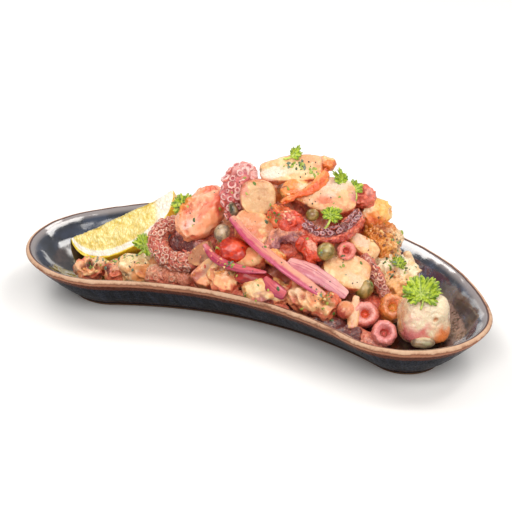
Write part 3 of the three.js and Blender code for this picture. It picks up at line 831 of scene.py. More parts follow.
class Form(Enum):
    """The forms that food is cut to or grows in."""

    CHUNK = Build(2.6, 2.6, 2.5, 0.10, (1.1, 0.55, 0.2))
    SLICE = Build(2.6, 8, 5, 0.04, (0.5, 0.25, 0.14), 0.15)
    LOG = Build(5, 5, 2.2, 0.05, (0.7, 0.4, 0.18))
    ARM = Build(7, 7, 2, 0.04, (0.4, 0.3, 0.2))
    BAND = Build(9, 9, 3.5, 0, (0.15, 0.08, 0.0))
    BERRY = Build(2.1, 2.1, 2, 0.03, (0.2, 0.1, 0.05))


class Cut(Enum):
    """Where a piece shows cut flesh: on both faces, on its two ends, all over or nowhere."""

    FACES = "faces"
    ENDS = "ends"
    ALL = "all"
    NONE = "none"


@dataclass(frozen=True)
class Dab:
    """A patch of colour, in shares of the piece's half sizes along, across and outwards."""

    at: Triple
    radius: float
    colour: str
    cover: float = 0.9


def painted(share: Array, dabs: tuple[Dab, ...], seed: int, ground: Array) -> Array:
    """Colour and cover of the dabs on a surface.

    A dab covers by 1 - smooth step of the distance over its radius, with the distance made
    uneven by noise, and a later dab lies over an earlier one.

    Args:
        share: Places in shares of the piece's half sizes.
        dabs: The patches.
        seed: Chooses the noise.
        ground: Paint that lies under the dabs.

    Returns:
        Red, green, blue and cover for each place.
    """
    paint = ground
    wave = 0.4 * lattice_noise(share, 0.4, seed) + 0.3 * lattice_noise(share, 0.16, seed + 1)
    for dab in dabs:
        distance = np.linalg.norm(share - np.array(dab.at), axis=-1) / dab.radius
        cover = dab.cover * (1 - smooth_step(0.4, 1.3, distance * (1 + wave)))
        old = paint[..., 3:]
        new = cover[..., None]
        both = old + new - old * new
        colour = np.array(srgb(dab.colour))
        paint[..., :3] = (paint[..., :3] * old * (1 - new) + colour * new) / np.maximum(both, 1e-6)
        paint[..., 3:] = both
    return paint


RELIEF_PITCHES = (7.0, 3.0, 1.3)
CRAG_PITCH = 3.6


def relief_of(points: Array, sizes: Triple, seed: int, crags: float = 0.0) -> Array:
    """Height of the relief at points, coarse, medium and fine noise and sharp crags.

    Args:
        points: Places.
        sizes: Heights of the three noises.
        seed: Chooses the noise.
        crags: Height of ridges, 1 - 2.5 |noise|.

    Returns:
        One height for each place.
    """
    height = np.zeros(points.shape[:-1])
    for k, (size, pitch) in enumerate(zip(sizes, RELIEF_PITCHES)):
        height += size * lattice_noise(points, pitch, seed + k)
    if crags:
        height += crags * (1 - 2.5 * np.abs(lattice_noise(points, CRAG_PITCH, seed + 3)))
    return height


class Food:
    """A piece of food, of closed skins with one finish."""

    name: str
    finish: Finish

    def skins(self) -> list[Skin]:
        """All of its skins."""
        raise NotImplementedError

    def build(self) -> None:
        """Makes, dresses and places the piece."""
        maker = MeshMaker(self.name)
        maker.add(*(inside_dish(skin) for skin in self.skins()))
        settle(maker.build([self.finish.material()]), self.finish.slot, self.name)
        FOUND[self.name] = maker.skins


FOUND: dict[str, list[Skin]] = {}


@dataclass(frozen=True)
class Whorl:
    """Rings of growth round a small hole on a cut face: place in shares of the half sizes,
    outer radius and radius of the hole in millimetres, and height of the rings."""

    at: Triple
    radius: float
    hole: float
    height: float
    pitch: float = 2.2
    depth: float = 1.6

    def relief(self, skin: Skin) -> Array:
        """Height on a skin: a wave of the distance r, cos(2 pi r / pitch), that fades to the
        outer radius, less depth * exp(-(r / hole) ** 2).

        Args:
            skin: The skin.

        Returns:
            The height at each of its points.
        """
        off = np.linalg.norm(skin.share - np.array(self.at), axis=-1)
        centre = skin.rings[np.unravel_index(np.argmin(off), off.shape)]
        r = np.linalg.norm(skin.rings - centre, axis=-1)
        wave = self.height * np.cos(2 * np.pi * r / self.pitch) * smooth_step(self.radius, self.radius / 2, r)
        return wave - self.depth * np.exp(-((r / self.hole) ** 2))


GOLDEN_ANGLE = 2.4
FINE_RINGS, FINE_SIDES = 3001, 2881
FEWEST, MOST_RINGS, MOST_SIDES = 24, 170, 190
FLOW_SHIFT = 37.0


@dataclass(frozen=True)
class Morsel(Food):
    """A superellipsoid whose long axis follows a centre line, one piece of food.

    at with three half sizes, along, across and through the face, gives a straight piece,
    and route with half width and half depth a bent one.
    """

    name: str
    form: Form
    finish: Finish
    face: Triple
    size: tuple[float, ...]
    at: Triple | None = None
    route: tuple[Triple, ...] | None = None
    taper: tuple[float, ...] = (1.0, 1.0)
    lumps: float | None = None
    fullness: Triple | None = None
    seed: int = 1
    cut: Cut = Cut.FACES
    dabs: tuple[Dab, ...] = ()
    relief: Triple | None = None
    crags: float = 0.0
    cuts: int = 0
    keep: float = 0.74
    whorl: Whorl | None = None
    step: float = 0.42

    def line(self) -> CentreLine:
        """Centre line, straight through at or bent along route.

        Returns:
            The curve.
        """
        if self.route:
            return CentreLine(self.route)
        along = axes_of(self.face)[0] * self.size[0]
        return CentreLine((tuple(self.at - along), tuple(self.at + along)))

    def powers(self) -> Triple:
        """Fullness of the ends, of the flats and of the section."""
        build = self.form.value
        return self.fullness or (build.ends, build.flats, build.section)

    def frames(self, y: Array) -> tuple[Array, Array, Array, Array]:
        """Centres, tangents, sides and outward axes at y, from 1 at the start to -1.

        Args:
            y: Places, from 1 at the start to -1.

        Returns:
            The four, one row for each place.
        """
        share = (1 - y) / 2
        line = self.line()
        tangent = line.tangent(share)
        side = unit(np.cross(axes_of(self.face)[2], tangent))
        return line.at(share), tangent, side, np.cross(tangent, side)

    def half_sizes(self, y: Array) -> tuple[Array, Array]:
        """Half width and half depth at y: size * taper * (1 - |y| ** p) ** (1 / p).

        Args:
            y: Places, from 1 at the start to -1.

        Returns:
            The half widths and the half depths.
        """
        ends, flats, _ = self.powers()
        taper = list_value(self.taper, (1 - y) / 2)
        width = self.size[-2] * taper * np.maximum(1 - np.abs(y) ** ends, 0) ** (1 / ends)
        depth = self.size[-1] * taper * np.maximum(1 - np.abs(y) ** flats, 0) ** (1 / flats)
        return width, depth

    def ground(self, share: Array) -> Array:
        """Paint under the dabs, none."""
        return np.zeros((*share.shape[:-1], 4))

    def carved(self, rings: Array) -> tuple[Array, Array]:
        """Knife cuts, each pressing what stands out past a plane back to it.

        A cut's direction turns by a golden angle from one to the next and leans a little off
        the plane of the face. Past keep times the piece's reach in that direction, an excess
        e is taken back by e ** 2 / (e + 0.5).

        Args:
            rings: Points of the piece.

        Returns:
            The points, and 1 where a cut lies bare.
        """
        along, across, out = axes_of(self.face)
        middle = rings.mean(axis=(0, 1))
        bare = np.zeros(rings.shape[:2])
        for k in range(self.cuts):
            wheel = GOLDEN_ANGLE * k + 1.3 * self.seed
            lean = self.form.value.lean * math.sin(1.7 * k + self.seed)
            flat = along * math.cos(wheel) + across * math.sin(wheel)
            way = flat * math.cos(lean) + out * math.sin(lean)
            reach = (rings - middle) @ way
            over = np.maximum(reach - self.keep * reach.max(), 0)
            rings = rings - way * (over**2 / (over + 0.5))[..., None]
            bare = np.maximum(bare, smooth_step(0.2, 1.1, over))
        return rings, bare

    def skin(self, finish: int = 0) -> Skin:
        """The surface.

        At y the section is the superellipse width cos(a) ** (2 / s) along the side axis and
        depth sin(a) ** (2 / s) along the outward one, swelled by three sine waves, and y
        and a are spaced evenly over the surface. Relief moves the points along the normals.

        Args:
            finish: Number of its material.

        Returns:
            The skin with its fields.
        """
        fine = 1 - 2 * smooth_step(0, 1, np.linspace(0, 1, FINE_RINGS))
        width, depth = self.half_sizes(fine)
        centres = self.line().at((1 - fine) / 2)
        travel = np.concatenate([[0.0], np.cumsum(np.linalg.norm(np.diff(centres, axis=0), axis=1))])
        profile = np.stack([travel, width, depth], axis=-1)
        length = np.linalg.norm(np.diff(profile, axis=0), axis=1).sum()
        count = int(np.clip(length / self.step, FEWEST, MOST_RINGS))
        y = np.interp(even_samples(profile, count + 2)[1:-1], np.arange(len(fine)), fine)

        power = 2 / self.powers()[2]
        turn = np.linspace(0, 2 * np.pi, FINE_SIDES)
        outline = np.stack(
            [
                self.size[-2] * signed_power(np.cos(turn), power),
                self.size[-1] * signed_power(np.sin(turn), power),
            ],
            axis=-1,
        )
        girth = np.linalg.norm(np.diff(outline, axis=0), axis=1).sum()
        sides = int(np.clip(girth / self.step, FEWEST, MOST_SIDES))
        angle = np.interp(even_samples(outline, sides + 1)[:-1], np.arange(len(turn)), turn)

        centre, tangent, side, out = self.frames(y)
        width, depth = self.half_sizes(y)
        lumps = self.form.value.lumps if self.lumps is None else self.lumps
        a, down = angle[None, :], y[:, None]
        swell = 1 + lumps / 3 * (
            np.sin(3 * a + self.seed)
            + np.sin(2 * a - 5 * down + 2 * self.seed)
            + np.sin(4 * down + 3 * self.seed)
        )
        x = width[:, None] * swell * signed_power(np.cos(a), power)
        z = depth[:, None] * swell * signed_power(np.sin(a), power)
        rings = centre[:, None] + side[:, None] * x[..., None] + out[:, None] * z[..., None]
        rings, sliced = self.carved(rings)
        skin = blank_skin(rings, centre[0], centre[-1], finish)
        reach = np.interp(y, fine[::-1], travel[::-1])
        length = np.broadcast_to(-down, x.shape)
        skin.share = np.stack([length, x / self.size[-2], z / self.size[-1]], axis=-1)
        skin.flow = np.stack([np.broadcast_to(reach[:, None], x.shape), x, z], axis=-1)
        skin.flow = skin.flow + FLOW_SHIFT * self.seed
        normal = skin.normals()
        outward = np.abs((normal * out[:, None]).sum(axis=-1))
        endward = np.abs((normal * tangent[:, None]).sum(axis=-1))
        bare = {
            Cut.FACES: smooth_step(0.55, 0.8, outward),
            Cut.ENDS: smooth_step(0.6, 0.85, endward),
            Cut.ALL: np.ones_like(outward),
            Cut.NONE: np.zeros_like(outward),
        }[self.cut]
        skin.hide = 1 - np.maximum(bare, sliced)
        skin.paint = painted(skin.share, self.dabs, self.seed + 11, self.ground(skin.share))
        relief = self.relief or self.form.value.relief
        height = relief_of(skin.rings, relief, self.seed * 7 + 3, self.crags)
        if self.whorl:
            height = height + self.whorl.relief(skin)
        fade = smooth_step(0, 1.5, np.minimum(width, depth))[:, None]
        rough = sum(relief) * 0.6 + self.crags + 0.05
        # pit masks the relief's hollows, where the flesh finish paints shade
        skin.pit = smooth_step(0.0, -1.0, height / rough - 0.1) * min(1.0, 0.35 + self.crags)
        skin.rings = skin.rings + normal * (height * fade)[..., None]
        skin.close()
        return skin

    def skins(self) -> list[Skin]:
        """All of its skins."""
        return [self.skin()]


@dataclass(frozen=True)
class Ring:
    """Form of a lathed ring: its profile in shares of radius and height, and paint stops,
    each a share of the profile with the number of a colour and its cover."""

    profile: tuple[Pair, ...]
    stops: tuple[tuple[float, int, float], ...]
    rings: int
    sides: int
    pleat: float
    rough: float

    def paint(self, place: Array, colours: tuple[str, ...]) -> Array:
        """Paint at places along the profile, blended from stop to stop.

        Args:
            place: The places.
            colours: Hex codes, which the stops number.

        Returns:
            Red, green, blue and cover at each place.
        """
        spots = [stop[0] for stop in self.stops]
        rows = np.array([[*srgb(colours[number]), cover] for _, number, cover in self.stops])
        return np.stack([np.interp(place, spots, rows[:, k]) for k in range(4)], axis=-1)


SUCKER = Ring(
    ((0.5, -0.9), (0.95, 0.15), (1.0, 0.7), (0.84, 1.0), (0.6, 0.92), (0.42, 0.5), (0.16, 0.25)),
    ((0.2, 0, 0.0), (0.4, 0, 0.85), (0.6, 0, 0.8), (0.78, 1, 1.0), (1.0, 1, 1.0)),
    14, 20, 0.11, 0.14,
)
CUP = Ring(
    ((0.6, -0.3), (0.95, 0.15), (1.0, 0.55), (0.97, 0.8), (0.84, 0.96), (0.66, 1.0), (0.5, 0.92),
     (0.36, 0.74), (0.3, 0.56), (0.2, 0.5), (0.08, 0.56)),
    ((0.3, 0, 0.0), (0.48, 0, 0.7), (0.6, 1, 0.9), (0.67, 1, 0.95), (0.74, 2, 1.0), (0.88, 3, 1.0),
     (1.0, 2, 1.0)),
    70, 120, 0.03, 0.05,
)


FINE_PROFILE = 600
PLEATS = 9


def lathed(form: Ring, at: Array, face: Array, size: Pair, seed: int, colours: tuple[str, ...]) -> Skin:
    """A lathed ring with a hollow.

    The profile goes from a sunken base out to the rim and into the hollow, and its radius
    swells by its pleats, waves of the angle, round the rim.

    Args:
        form: Its profile and paint.
        at: Middle of its base.
        face: Direction that it looks in.
        size: Outer radius, and height of the rim over the base.
        seed: Turns the pleats.
        colours: Colours that the stops count.

    Returns:
        The skin.
    """
    radius, height = size
    curve = CentreLine(tuple((r * radius, h * height, 0.0) for r, h in form.profile))
    fine = curve.at(np.linspace(0, 1, FINE_PROFILE))
    place = even_samples(fine, form.rings) / (FINE_PROFILE - 1)
    section = curve.at(place)
    angle = circle(form.sides)
    wave = np.cos(PLEATS * angle + seed) + 0.6 * np.cos(2 * angle + 2 * seed)
    pleat = 1 + form.pleat * wave[None, :] * np.sin(np.pi * place)[:, None]
    right = unit(np.cross(face, np.array([0.1, 0.2, 1.0])))
    up = np.cross(face, right)
    flat = right * np.cos(angle)[:, None] + up * np.sin(angle)[:, None]
    rings = at + flat[None] * (section[:, :1] * pleat)[..., None] + face * section[:, 1][:, None, None]
    skin = blank_skin(rings)
    skin.flow = rings + seed * 5.0
    rough = form.rough * radius
    skin.rings = rings + skin.normals() * relief_of(rings, (rough, rough, rough), seed)[..., None]
    skin.close()
    skin.hide[:] = 1.0
    skin.paint[:] = form.paint(place, colours)[:, None]
    return skin


@dataclass(frozen=True)
class Arm(Morsel):
    """A bent arm with rows of suckers along the side that its face names.

    The rows cover a share of the arm's length, and suckers stand at a depth, a share of its
    half sizes, tilted and strayed by a little.
    """

    suckers: int = 8
    rows: int = 2
    radius: float = 2.3
    row_angle: float = 0.45
    rim: str = "E8A898"
    hollow: str = "6A3034"
    bed: str = "B05C58"
    bed_cover: float = 0.0
    cover: float = 0.92
    depth: float = 0.9
    tilt: float = 0.4
    stray: float = 0.22

    def ground(self, share: Array) -> Array:
        """Paint of the bed that the suckers stand on, between the outer rows.

        Args:
            share: The skin's field of shares.

        Returns:
            Red, green, blue and cover at each point.
        """
        lean = np.abs(np.arctan2(share[..., 1], share[..., 2]))
        cover = self.bed_cover * (1 - smooth_step(self.row_angle + 0.2, self.row_angle + 0.6, lean))
        colour = np.broadcast_to(np.array(srgb(self.bed)), (*share.shape[:-1], 3))
        return np.concatenate([colour, cover[..., None]], axis=-1)

    def skins(self) -> list[Skin]:
        """The arm and its suckers, row by row, each row half a step on from the one before.

        Returns:
            The skins.
        """
        skins = [self.skin()]
        count = self.suckers // self.rows
        for row in range(self.rows):
            lean = self.row_angle * (2 * row / (self.rows - 1) - 1)
            order = np.arange(count)
            y = self.cover - 2 * self.cover * (order + 0.25 + 0.5 * (row % 2)) / count
            centre, _, side, out = self.frames(y)
            taper = list_value(self.taper, (1 - y) / 2)
            for k in order:
                face = unit(out[k] * math.cos(lean) + side[k] * math.sin(lean))
                spot = centre[k] + side[k] * self.size[-2] * taper[k] * self.depth * math.sin(lean)
                spot = spot + out[k] * self.size[-1] * taper[k] * self.depth * math.cos(lean)
                seed = int(k + 7 * row)
                radius = self.radius * taper[k] * (1 + 0.36 * math.sin(2.4 * seed))
                sway = np.array([math.sin(3 * seed), math.cos(5 * seed), math.sin(7 * seed)])
                face = unit(face + self.tilt * sway)
                spot = spot + self.stray * self.radius * sway
                tones = (self.rim, self.hollow)
                skins.append(lathed(SUCKER, spot, face, (radius, 0.75 * self.radius), seed, tones))
        return skins


@dataclass(frozen=True)
class Cup(Food):
    """A cut stub of arm that ends in one large sucker with an open hollow."""

    name: str
    finish: Flesh
    at: Triple
    face: Pair
    radius: float
    height: float
    rim: str
    slope: str
    pit: str
    seed: int

    def skins(self) -> list[Skin]:
        """The stub with its rim and hollow.

        Returns:
            The skins.
        """
        out = axes_of((*self.face, 0.0))[2]
        base = np.array(self.at) - out * self.height
        tones = (self.rim, self.rim, self.slope, self.pit)
        return [lathed(CUP, base, out, (self.radius, 2 * self.height), self.seed, tones)]


# ------------------------------------------------------------------ dish
@dataclass(frozen=True)
class Arc:
    """One arc of the rim's outline: centre, radius, the way its radius changes with an
    inset, and its first and last angle."""

    centre: Array
    radius: float
    inset: int
    start: float
    end: float

    def length(self) -> float:
        """Angle times radius."""
        return abs(self.end - self.start) * self.radius


@dataclass(frozen=True)
class Dish:
    """Kidney-shaped stoneware dish: four tangent arcs round, and one wall section."""

    left_radius: float = 52.0
    right_radius: float = 45.0
    span: float = 184.0
    back_radius: float = 158.0
    front_radius: float = 170.0
    floor: float = 10.0
    outside: tuple[Pair, ...] = (
        (36, 3.5), (33.6, 3.3), (33, 0.3), (30, 0.12), (27, 0.3), (26.2, 1.8), (20, 6.6), (12, 13.6),
        (4.8, 20.8), (0.7, 25.2),
    )
    lip: tuple[Pair, ...] = ((0.0, 26.4), (0.5, 27.5), (1.5, 28.0), (2.8, 27.85), (4.2, 27.1))
    inside: tuple[Pair, ...] = (
        (5.8, 25.8), (7.6, 24.0), (9.6, 21.7), (12, 19.1), (15, 16.6), (20, 13.4), (28, 10.6), (34, 10.05),
    )
    around: int = 400
    down: int = 150
    girth: float = 740.0
    fine_wall: int = 2000
    box_samples: int = 1920
    floor_samples: int = 360

    def arcs(self) -> list[Arc]:
        """The arcs counterclockwise from the right end, with the left centre at 0, 0.

        Returns:
            The arcs.
        """

        def centre(to_left: float, to_right: float) -> Array:
            """Point in front of both end centres at these distances from them."""
            x = (to_left**2 - to_right**2 + self.span**2) / (2 * self.span)
            return np.array([x, -math.sqrt(to_left**2 - x**2)])

        def angle(start: Array, end: Array) -> float:
            """Direction from one point to another, in radians."""
            return math.atan2(end[1] - start[1], end[0] - start[0])

        left, right = np.zeros(2), np.array([self.span, 0.0])
        back = centre(self.back_radius - self.left_radius, self.back_radius - self.right_radius)
        front = centre(self.front_radius + self.left_radius, self.front_radius + self.right_radius)
        return [
            Arc(back, self.back_radius, -1, angle(back, right), angle(back, left)),
            Arc(left, self.left_radius, -1, angle(back, left), angle(left, front) + 2 * math.pi),
            Arc(front, self.front_radius, 1, angle(front, left), angle(front, right)),
            Arc(right, self.right_radius, -1, angle(right, front), angle(back, right)),
        ]

    def outline(self, share: Array, inset: Array) -> Array:
        """Points of the outline.

        Args:
            share: Places as shares of the rim's girth.
            inset: Distance inwards from the rim for each ring.

        Returns:
            x and y for each inset and share, about the middle of the rim's box.
        """
        arcs = self.arcs()
        ends = np.cumsum([arc.length() for arc in arcs])
        run = share * ends[-1]
        number = np.minimum(np.searchsorted(ends, run, side="right"), len(arcs) - 1)
        centre = np.array([arc.centre for arc in arcs])[number]
        start = np.array([arc.start for arc in arcs])[number]
        turn = np.array([arc.end - arc.start for arc in arcs])[number]
        length = np.array([arc.length() for arc in arcs])[number]
        angle = start + turn * (run - (ends[number] - length)) / length
        radius = np.array([arc.radius for arc in arcs])[number]
        sign = np.array([arc.inset for arc in arcs])[number]
        reach = radius[None] + sign[None] * inset[:, None]
        way = np.stack([np.cos(angle), np.sin(angle)], axis=-1)
        return centre[None] + way[None] * reach[..., None]

    def middle(self) -> Array:
        """Middle of the rim's box."""
        rim = self.outline(np.linspace(0, 1, self.box_samples + 1)[:-1], np.zeros(1))[0]
        return (rim.min(axis=0) + rim.max(axis=0)) / 2

    def floor_at(self, places: Array) -> Array:
        """Height of the dish's inside under places in the serving frame.

        Args:
            places: x, y, z rows.

        Returns:
            The height that belongs to each place's distance from the rim.
        """
        cos, sin = math.cos(SERVE_ANGLE), math.sin(SERVE_ANGLE)
        x = places[:, 0] * cos - places[:, 1] * sin
        y = places[:, 0] * sin + places[:, 1] * cos
        rim = self.outline(np.linspace(0, 1, self.floor_samples + 1)[:-1], np.zeros(1))[0] - self.middle()
        gap = np.hypot(x[:, None] - rim[None, :, 0], y[:, None] - rim[None, :, 1]).min(axis=1)
        wall = self.lip[2:] + self.inside
        return np.interp(gap, [inset for inset, _ in wall], [height for _, height in wall])

    def build(self) -> None:
        """Makes, dresses and places the dish."""
        profile = self.outside + self.lip + self.inside
        wall = CentreLine(tuple((inset, height, 0.0) for inset, height in profile))
        fine = wall.at(np.linspace(0, 1, self.fine_wall))
        section = wall.at(even_samples(fine, self.down) / (self.fine_wall - 1))
        share = np.arange(self.around) / self.around
        flat = self.outline(share, section[:, 0]) - self.middle()
        height = np.broadcast_to(section[:, 1][:, None], flat.shape[:2])
        rings = np.concatenate([flat, height[..., None]], axis=-1)
        waves = relief_of(rings, (0.18, 0.05, 0.0), 5)
        rings[..., 2] += waves * smooth_step(1.0, 6.0, height)
        first = np.array([0.0, 0.0, self.outside[0][1]])
        skin = blank_skin(rings, first, np.array([0.0, 0.0, self.floor]))
        top = int(np.argmax(section[:, 1]))
        skin.bands = (np.arange(self.down) >= top).astype(int)
        skin.flow = np.stack(
            [
                np.broadcast_to(share[None] * self.girth, flat.shape[:2]),
                np.broadcast_to(section[:, :1], flat.shape[:2]),
                height,
            ],
            axis=-1,
        )
        maker = MeshMaker("plate")
        maker.add(skin)
        obj = maker.build([GlazeOutside().material(), GlazeInside().material()], turn=0.0)
        settle(obj, "stoneware", "plate")


DISH = Dish()
ABOVE_RIM = 30
SINK = 0.3


def inside_dish(skin: Skin) -> Skin:
    """Lifts what would pass through the dish onto its inside.

    Args:
        skin: A skin of the food.

    Returns:
        The same skin, each point no lower than the dish under it.
    """
    flat = skin.rings.reshape(-1, 3)
    low = flat[:, 2] < ABOVE_RIM
    if low.any():
        flat[low, 2] = np.maximum(flat[low, 2], DISH.floor_at(flat[low]) - SINK)
        skin.rings = flat.reshape(skin.rings.shape)
        skin.close()
    return skin


def lip_group() -> bpy.types.NodeTree:
    """The group that lets a glaze break to tan and brown towards the lip.

    Reach goes from 0 in the glaze to 1 on the lip. Brown comes first, then tan with brown
    mottles, a thin brown line, and a painted highlight in pale ivory at the very edge.

    Returns:
        The group.
    """
    tree = new_group(
        "lip break",
        {"Glaze": "Color", "Reach": "Float", "Tan": "Color", "Brown": "Color", "Pale": "Color"},
        {"Color": "Color", "Mottle": "Float"},
    )
    g = Graph(tree)
    given = tree.nodes["in"].outputs
    spots = g.node("ShaderNodeTexCoord").outputs["Object"]
    mottle = g.noise(spots, 420.0, 5.0, 0.7)
    drift = g.noise(spots, 45.0, 3.0)
    waved = g.plus(given["Reach"], g.sway(mottle, 0.22))
    waved = g.plus(waved, g.sway(drift, 0.3))
    tan = g.over(given["Tan"], given["Brown"], mottle, 0.52, 0.75, (0.0, 0.7))
    # painted highlight: pale ivory laid along the very edge of the lip
    tan = g.over(tan, given["Pale"], waved, 0.84, 1.08)
    colour = g.over(given["Glaze"], given["Brown"], waved, 0.05, 0.25)
    colour = g.over(colour, tan, waved, 0.58, 0.74)
    line = g.times(g.between(waved, 0.84, 0.89), g.between(waved, 0.97, 0.91))
    colour = g.mix(g.times(line, 0.6), colour, given["Brown"])
    g.join(colour, tree.nodes["out"].inputs["Color"])
    g.join(mottle, tree.nodes["out"].inputs["Mottle"])
    return tree


@dataclass(frozen=True)
class Glaze(Finish):
    """A dark slate-blue glaze that breaks to brown and tan on the lip, with a painted highlight in ivory
    along its edge.
    """

    tan: str = "A87258"
    brown: str = "50281B"
    # pale: colour of the painted highlight along the lip's edge
    pale: str = "D2B296"
    slot: str = "stoneware"

    def lip(
        self, g: Graph, glaze: bpy.types.NodeSocket, reach: bpy.types.NodeSocket
    ) -> bpy.types.NodeOutputs:
        """Outputs of the lip group with this glaze's own colours.

        Args:
            g: The material's nodes.
            glaze: Colour for the group's Glaze.
            reach: Value for the group's Reach.

        Returns:
            The group's outputs.
        """
        group = g.group("lip break", lip_group)
        given = {"Tan": self.tan, "Brown": self.brown, "Pale": self.pale}
        g.feed(group.inputs, {"Glaze": glaze, "Reach": reach, **given})
        return group.outputs


@dataclass(frozen=True)
class GlazeOutside(Glaze):
    """Outside: near black with faint upright bluish streaks of painted reflection, and bare clay under the
    foot.
    """

    name: str = "slate glaze outside"
    night: str = "121319"
    night_pale: str = "2A2E3A"
    clay: str = "6A4E3A"

    def dress(self, g: Graph, shader: bpy.types.NodeInputs) -> None:
        """Colours by the height up the wall.

        Args:
            g: The material's nodes.
            shader: Inputs of the material's shader.
        """
        flow = g.field("flow", "Vector")
        height = g.split(flow)[2]
        # painted reflection: faint upright bluish streaks over the near-black glaze
        streak = g.noise(g.stretch(flow, (0.4, 0.02, 0.05)), 1.0, 4.0, 0.6)
        glaze = g.over(self.night, self.night_pale, streak, 0.4, 0.75)
        foot = g.between(height, 1.9, 0.9)
        glaze = g.mix(foot, glaze, self.clay)
        seam = g.times(g.between(height, 2.2, 3.2), g.between(height, 5.4, 3.8))
        glaze = g.mix(g.times(seam, 0.5), glaze, self.brown)
        lip = self.lip(g, glaze, g.between(height, 18.0, 28.4))
        shine = g.between(lip["Mottle"], 0.3, 0.7, (0.2, 0.34))
        g.feed(shader, {
            "Base Color": lip["Color"], "Roughness": g.plus(shine, g.times(foot, 0.4)),
            "Normal": g.bump(lip["Mottle"], 0.00008), "Specular IOR Level": 0.012,
        })


@dataclass(frozen=True)
class GlazeInside(Glaze):
    """Inside: slate on the wall, a pale grey band under the lip that is partly its own tone and partly
    painted reflection, and a dark well with a mottled brown and pink edge.
    """

    name: str = "slate glaze inside"
    slate: str = "181C26"
    slate_pale: str = "343E54"
    cloud: str = "707C98"
    floor: str = "120F14"
    plum: str = "5A4042"
    fleck: str = "A88C84"
    mist: str = "A09898"

    def dress(self, g: Graph, shader: bpy.types.NodeInputs) -> None:
        """Colours by the distance in from the rim, with more mottles at the right end.

        Args:
            g: The material's nodes.
            shader: Inputs of the material's shader.
        """
        inset = g.split(g.field("flow", "Vector"))[1]
        spots = g.node("ShaderNodeTexCoord").outputs["Object"]
        cloud = g.noise(spots, 60.0, 4.0, 0.6)
        fleck = g.noise(spots, 500.0, 4.0, 0.7)
        rightward = g.between(g.split(spots)[0], 0.03, 0.11)
        wall = g.over(self.slate, self.slate_pale, cloud, 0.35, 0.65)
        bloom = g.times(g.between(cloud, 0.5, 0.68), g.between(fleck, 0.46, 0.62))
        wall = g.mix(g.times(bloom, rightward), wall, self.cloud)
        edge = g.plus(inset, g.sway(cloud, 5.0))
        colour = g.over(wall, self.floor, edge, 12.5, 15.0)
        ring = g.times(g.between(edge, 12.8, 14.5), g.between(edge, 25.0, 17.0))
        ring = g.times(ring, g.plus(g.times(rightward, 0.8), 0.15))
        speckled = g.between(g.plus(fleck, g.times(cloud, 0.6)), 0.66, 0.86)
        blot = g.between(g.noise(spots, 160.0, 4.0, 0.7), 0.4, 0.6)
        colour = g.mix(g.times(ring, g.times(blot, 0.9)), colour, self.plum)
        colour = g.mix(g.times(ring, g.times(speckled, 0.8)), colour, self.fleck)
        # a pale grey band under the inner lip, partly the glaze's own tone and partly painted reflection
        colour = g.over(colour, self.mist, inset, 7.0, 4.2, (0.0, 0.85))
        lip = self.lip(g, colour, g.between(inset, 3.4, 1.0))
        g.feed(shader, {
            "Base Color": lip["Color"], "Roughness": g.between(fleck, 0.3, 0.7, (0.05, 0.11)),
            "Normal": g.bump(g.plus(fleck, g.times(cloud, 3.0)), 0.00005), "IOR": 1.95, "Coat Weight": 0.8,
            "Coat Roughness": 0.04,
        })


# ------------------------------------------------------------------ lemon
@dataclass(frozen=True)
class LemonFlesh(Finish):
    """Finish of a lemon wedge: juicy pulp, white pith and oily peel."""

    name: str = "lemon flesh and peel"
    slot: str = "lemon"
    pulp: str = "F4E294"
    pulp_deep: str = "E6C03C"
    juice: str = "FBF0C4"
    pith: str = "F8EEDC"
    peel: str = "F0D030"
    peel_deep: str = "DC9418"

    def dress(self, g: Graph, shader: bpy.types.NodeInputs) -> None:
        """Peel by its own field, pith under it and at the right tip, and pulp in long cells.

        Args:
            g: The material's nodes.
            shader: Inputs of the material's shader.
        """
        flow = g.field("flow", "Vector")
        depth = g.split(g.field("share", "Vector"))[0]
        peel_side = g.field("hide", "Fac")
        cells = g.cells(g.stretch(flow, (1.15, 0.5, 1.4)), 1.0)
        grain = g.noise(flow, 1.4, 3.0)
        cloud = g.noise(flow, 0.22, 2.0)
        pulp = g.over(self.pulp, self.pulp_deep, cells, 0.35, 0.75, (0.0, 0.6))
        pulp = g.over(pulp, self.pulp_deep, cloud, 0.45, 0.62, (0.0, 0.6))
        pulp = g.over(pulp, self.juice, grain, 0.5, 0.72, (0.0, 0.6))
        uneven = g.sway(g.noise(flow, 0.3, 2.0), 1.6)
        tip = g.between(g.split(flow)[0], -14.0, -32.0, (0.0, -1.8))
        rind = g.plus(g.plus(depth, uneven), tip)
        colour = g.over(pulp, self.pith, rind, 6.2, 4.6)
        crown = g.plus(g.split(flow)[0], g.times(uneven, 3.0))
        colour = g.over(colour, self.pith, crown, 20.0, 25.0)
        colour = g.over(colour, self.peel, rind, 1.3, 0.7)
        pores = g.between(g.cells(flow, 0.8), 0.3, 0.1)
        rind_colour = g.over(self.peel, self.peel_deep, grain, 0.4, 0.7)
        colour = g.mix(peel_side, colour, rind_colour)
        relief = g.mix(peel_side, g.times(cells, -0.8), g.times(pores, -0.8))
        g.feed(shader, {
            "Base Color": colour, "Normal": g.bump(relief, 0.0004, 0.7),
            "Roughness": g.between(grain, 0.3, 0.7, (0.22, 0.42)), "Subsurface Weight": 0.3,
            "Subsurface Radius": (1.0, 0.9, 0.4), "Subsurface Scale": 0.004, "Coat Weight": 0.3,
        })


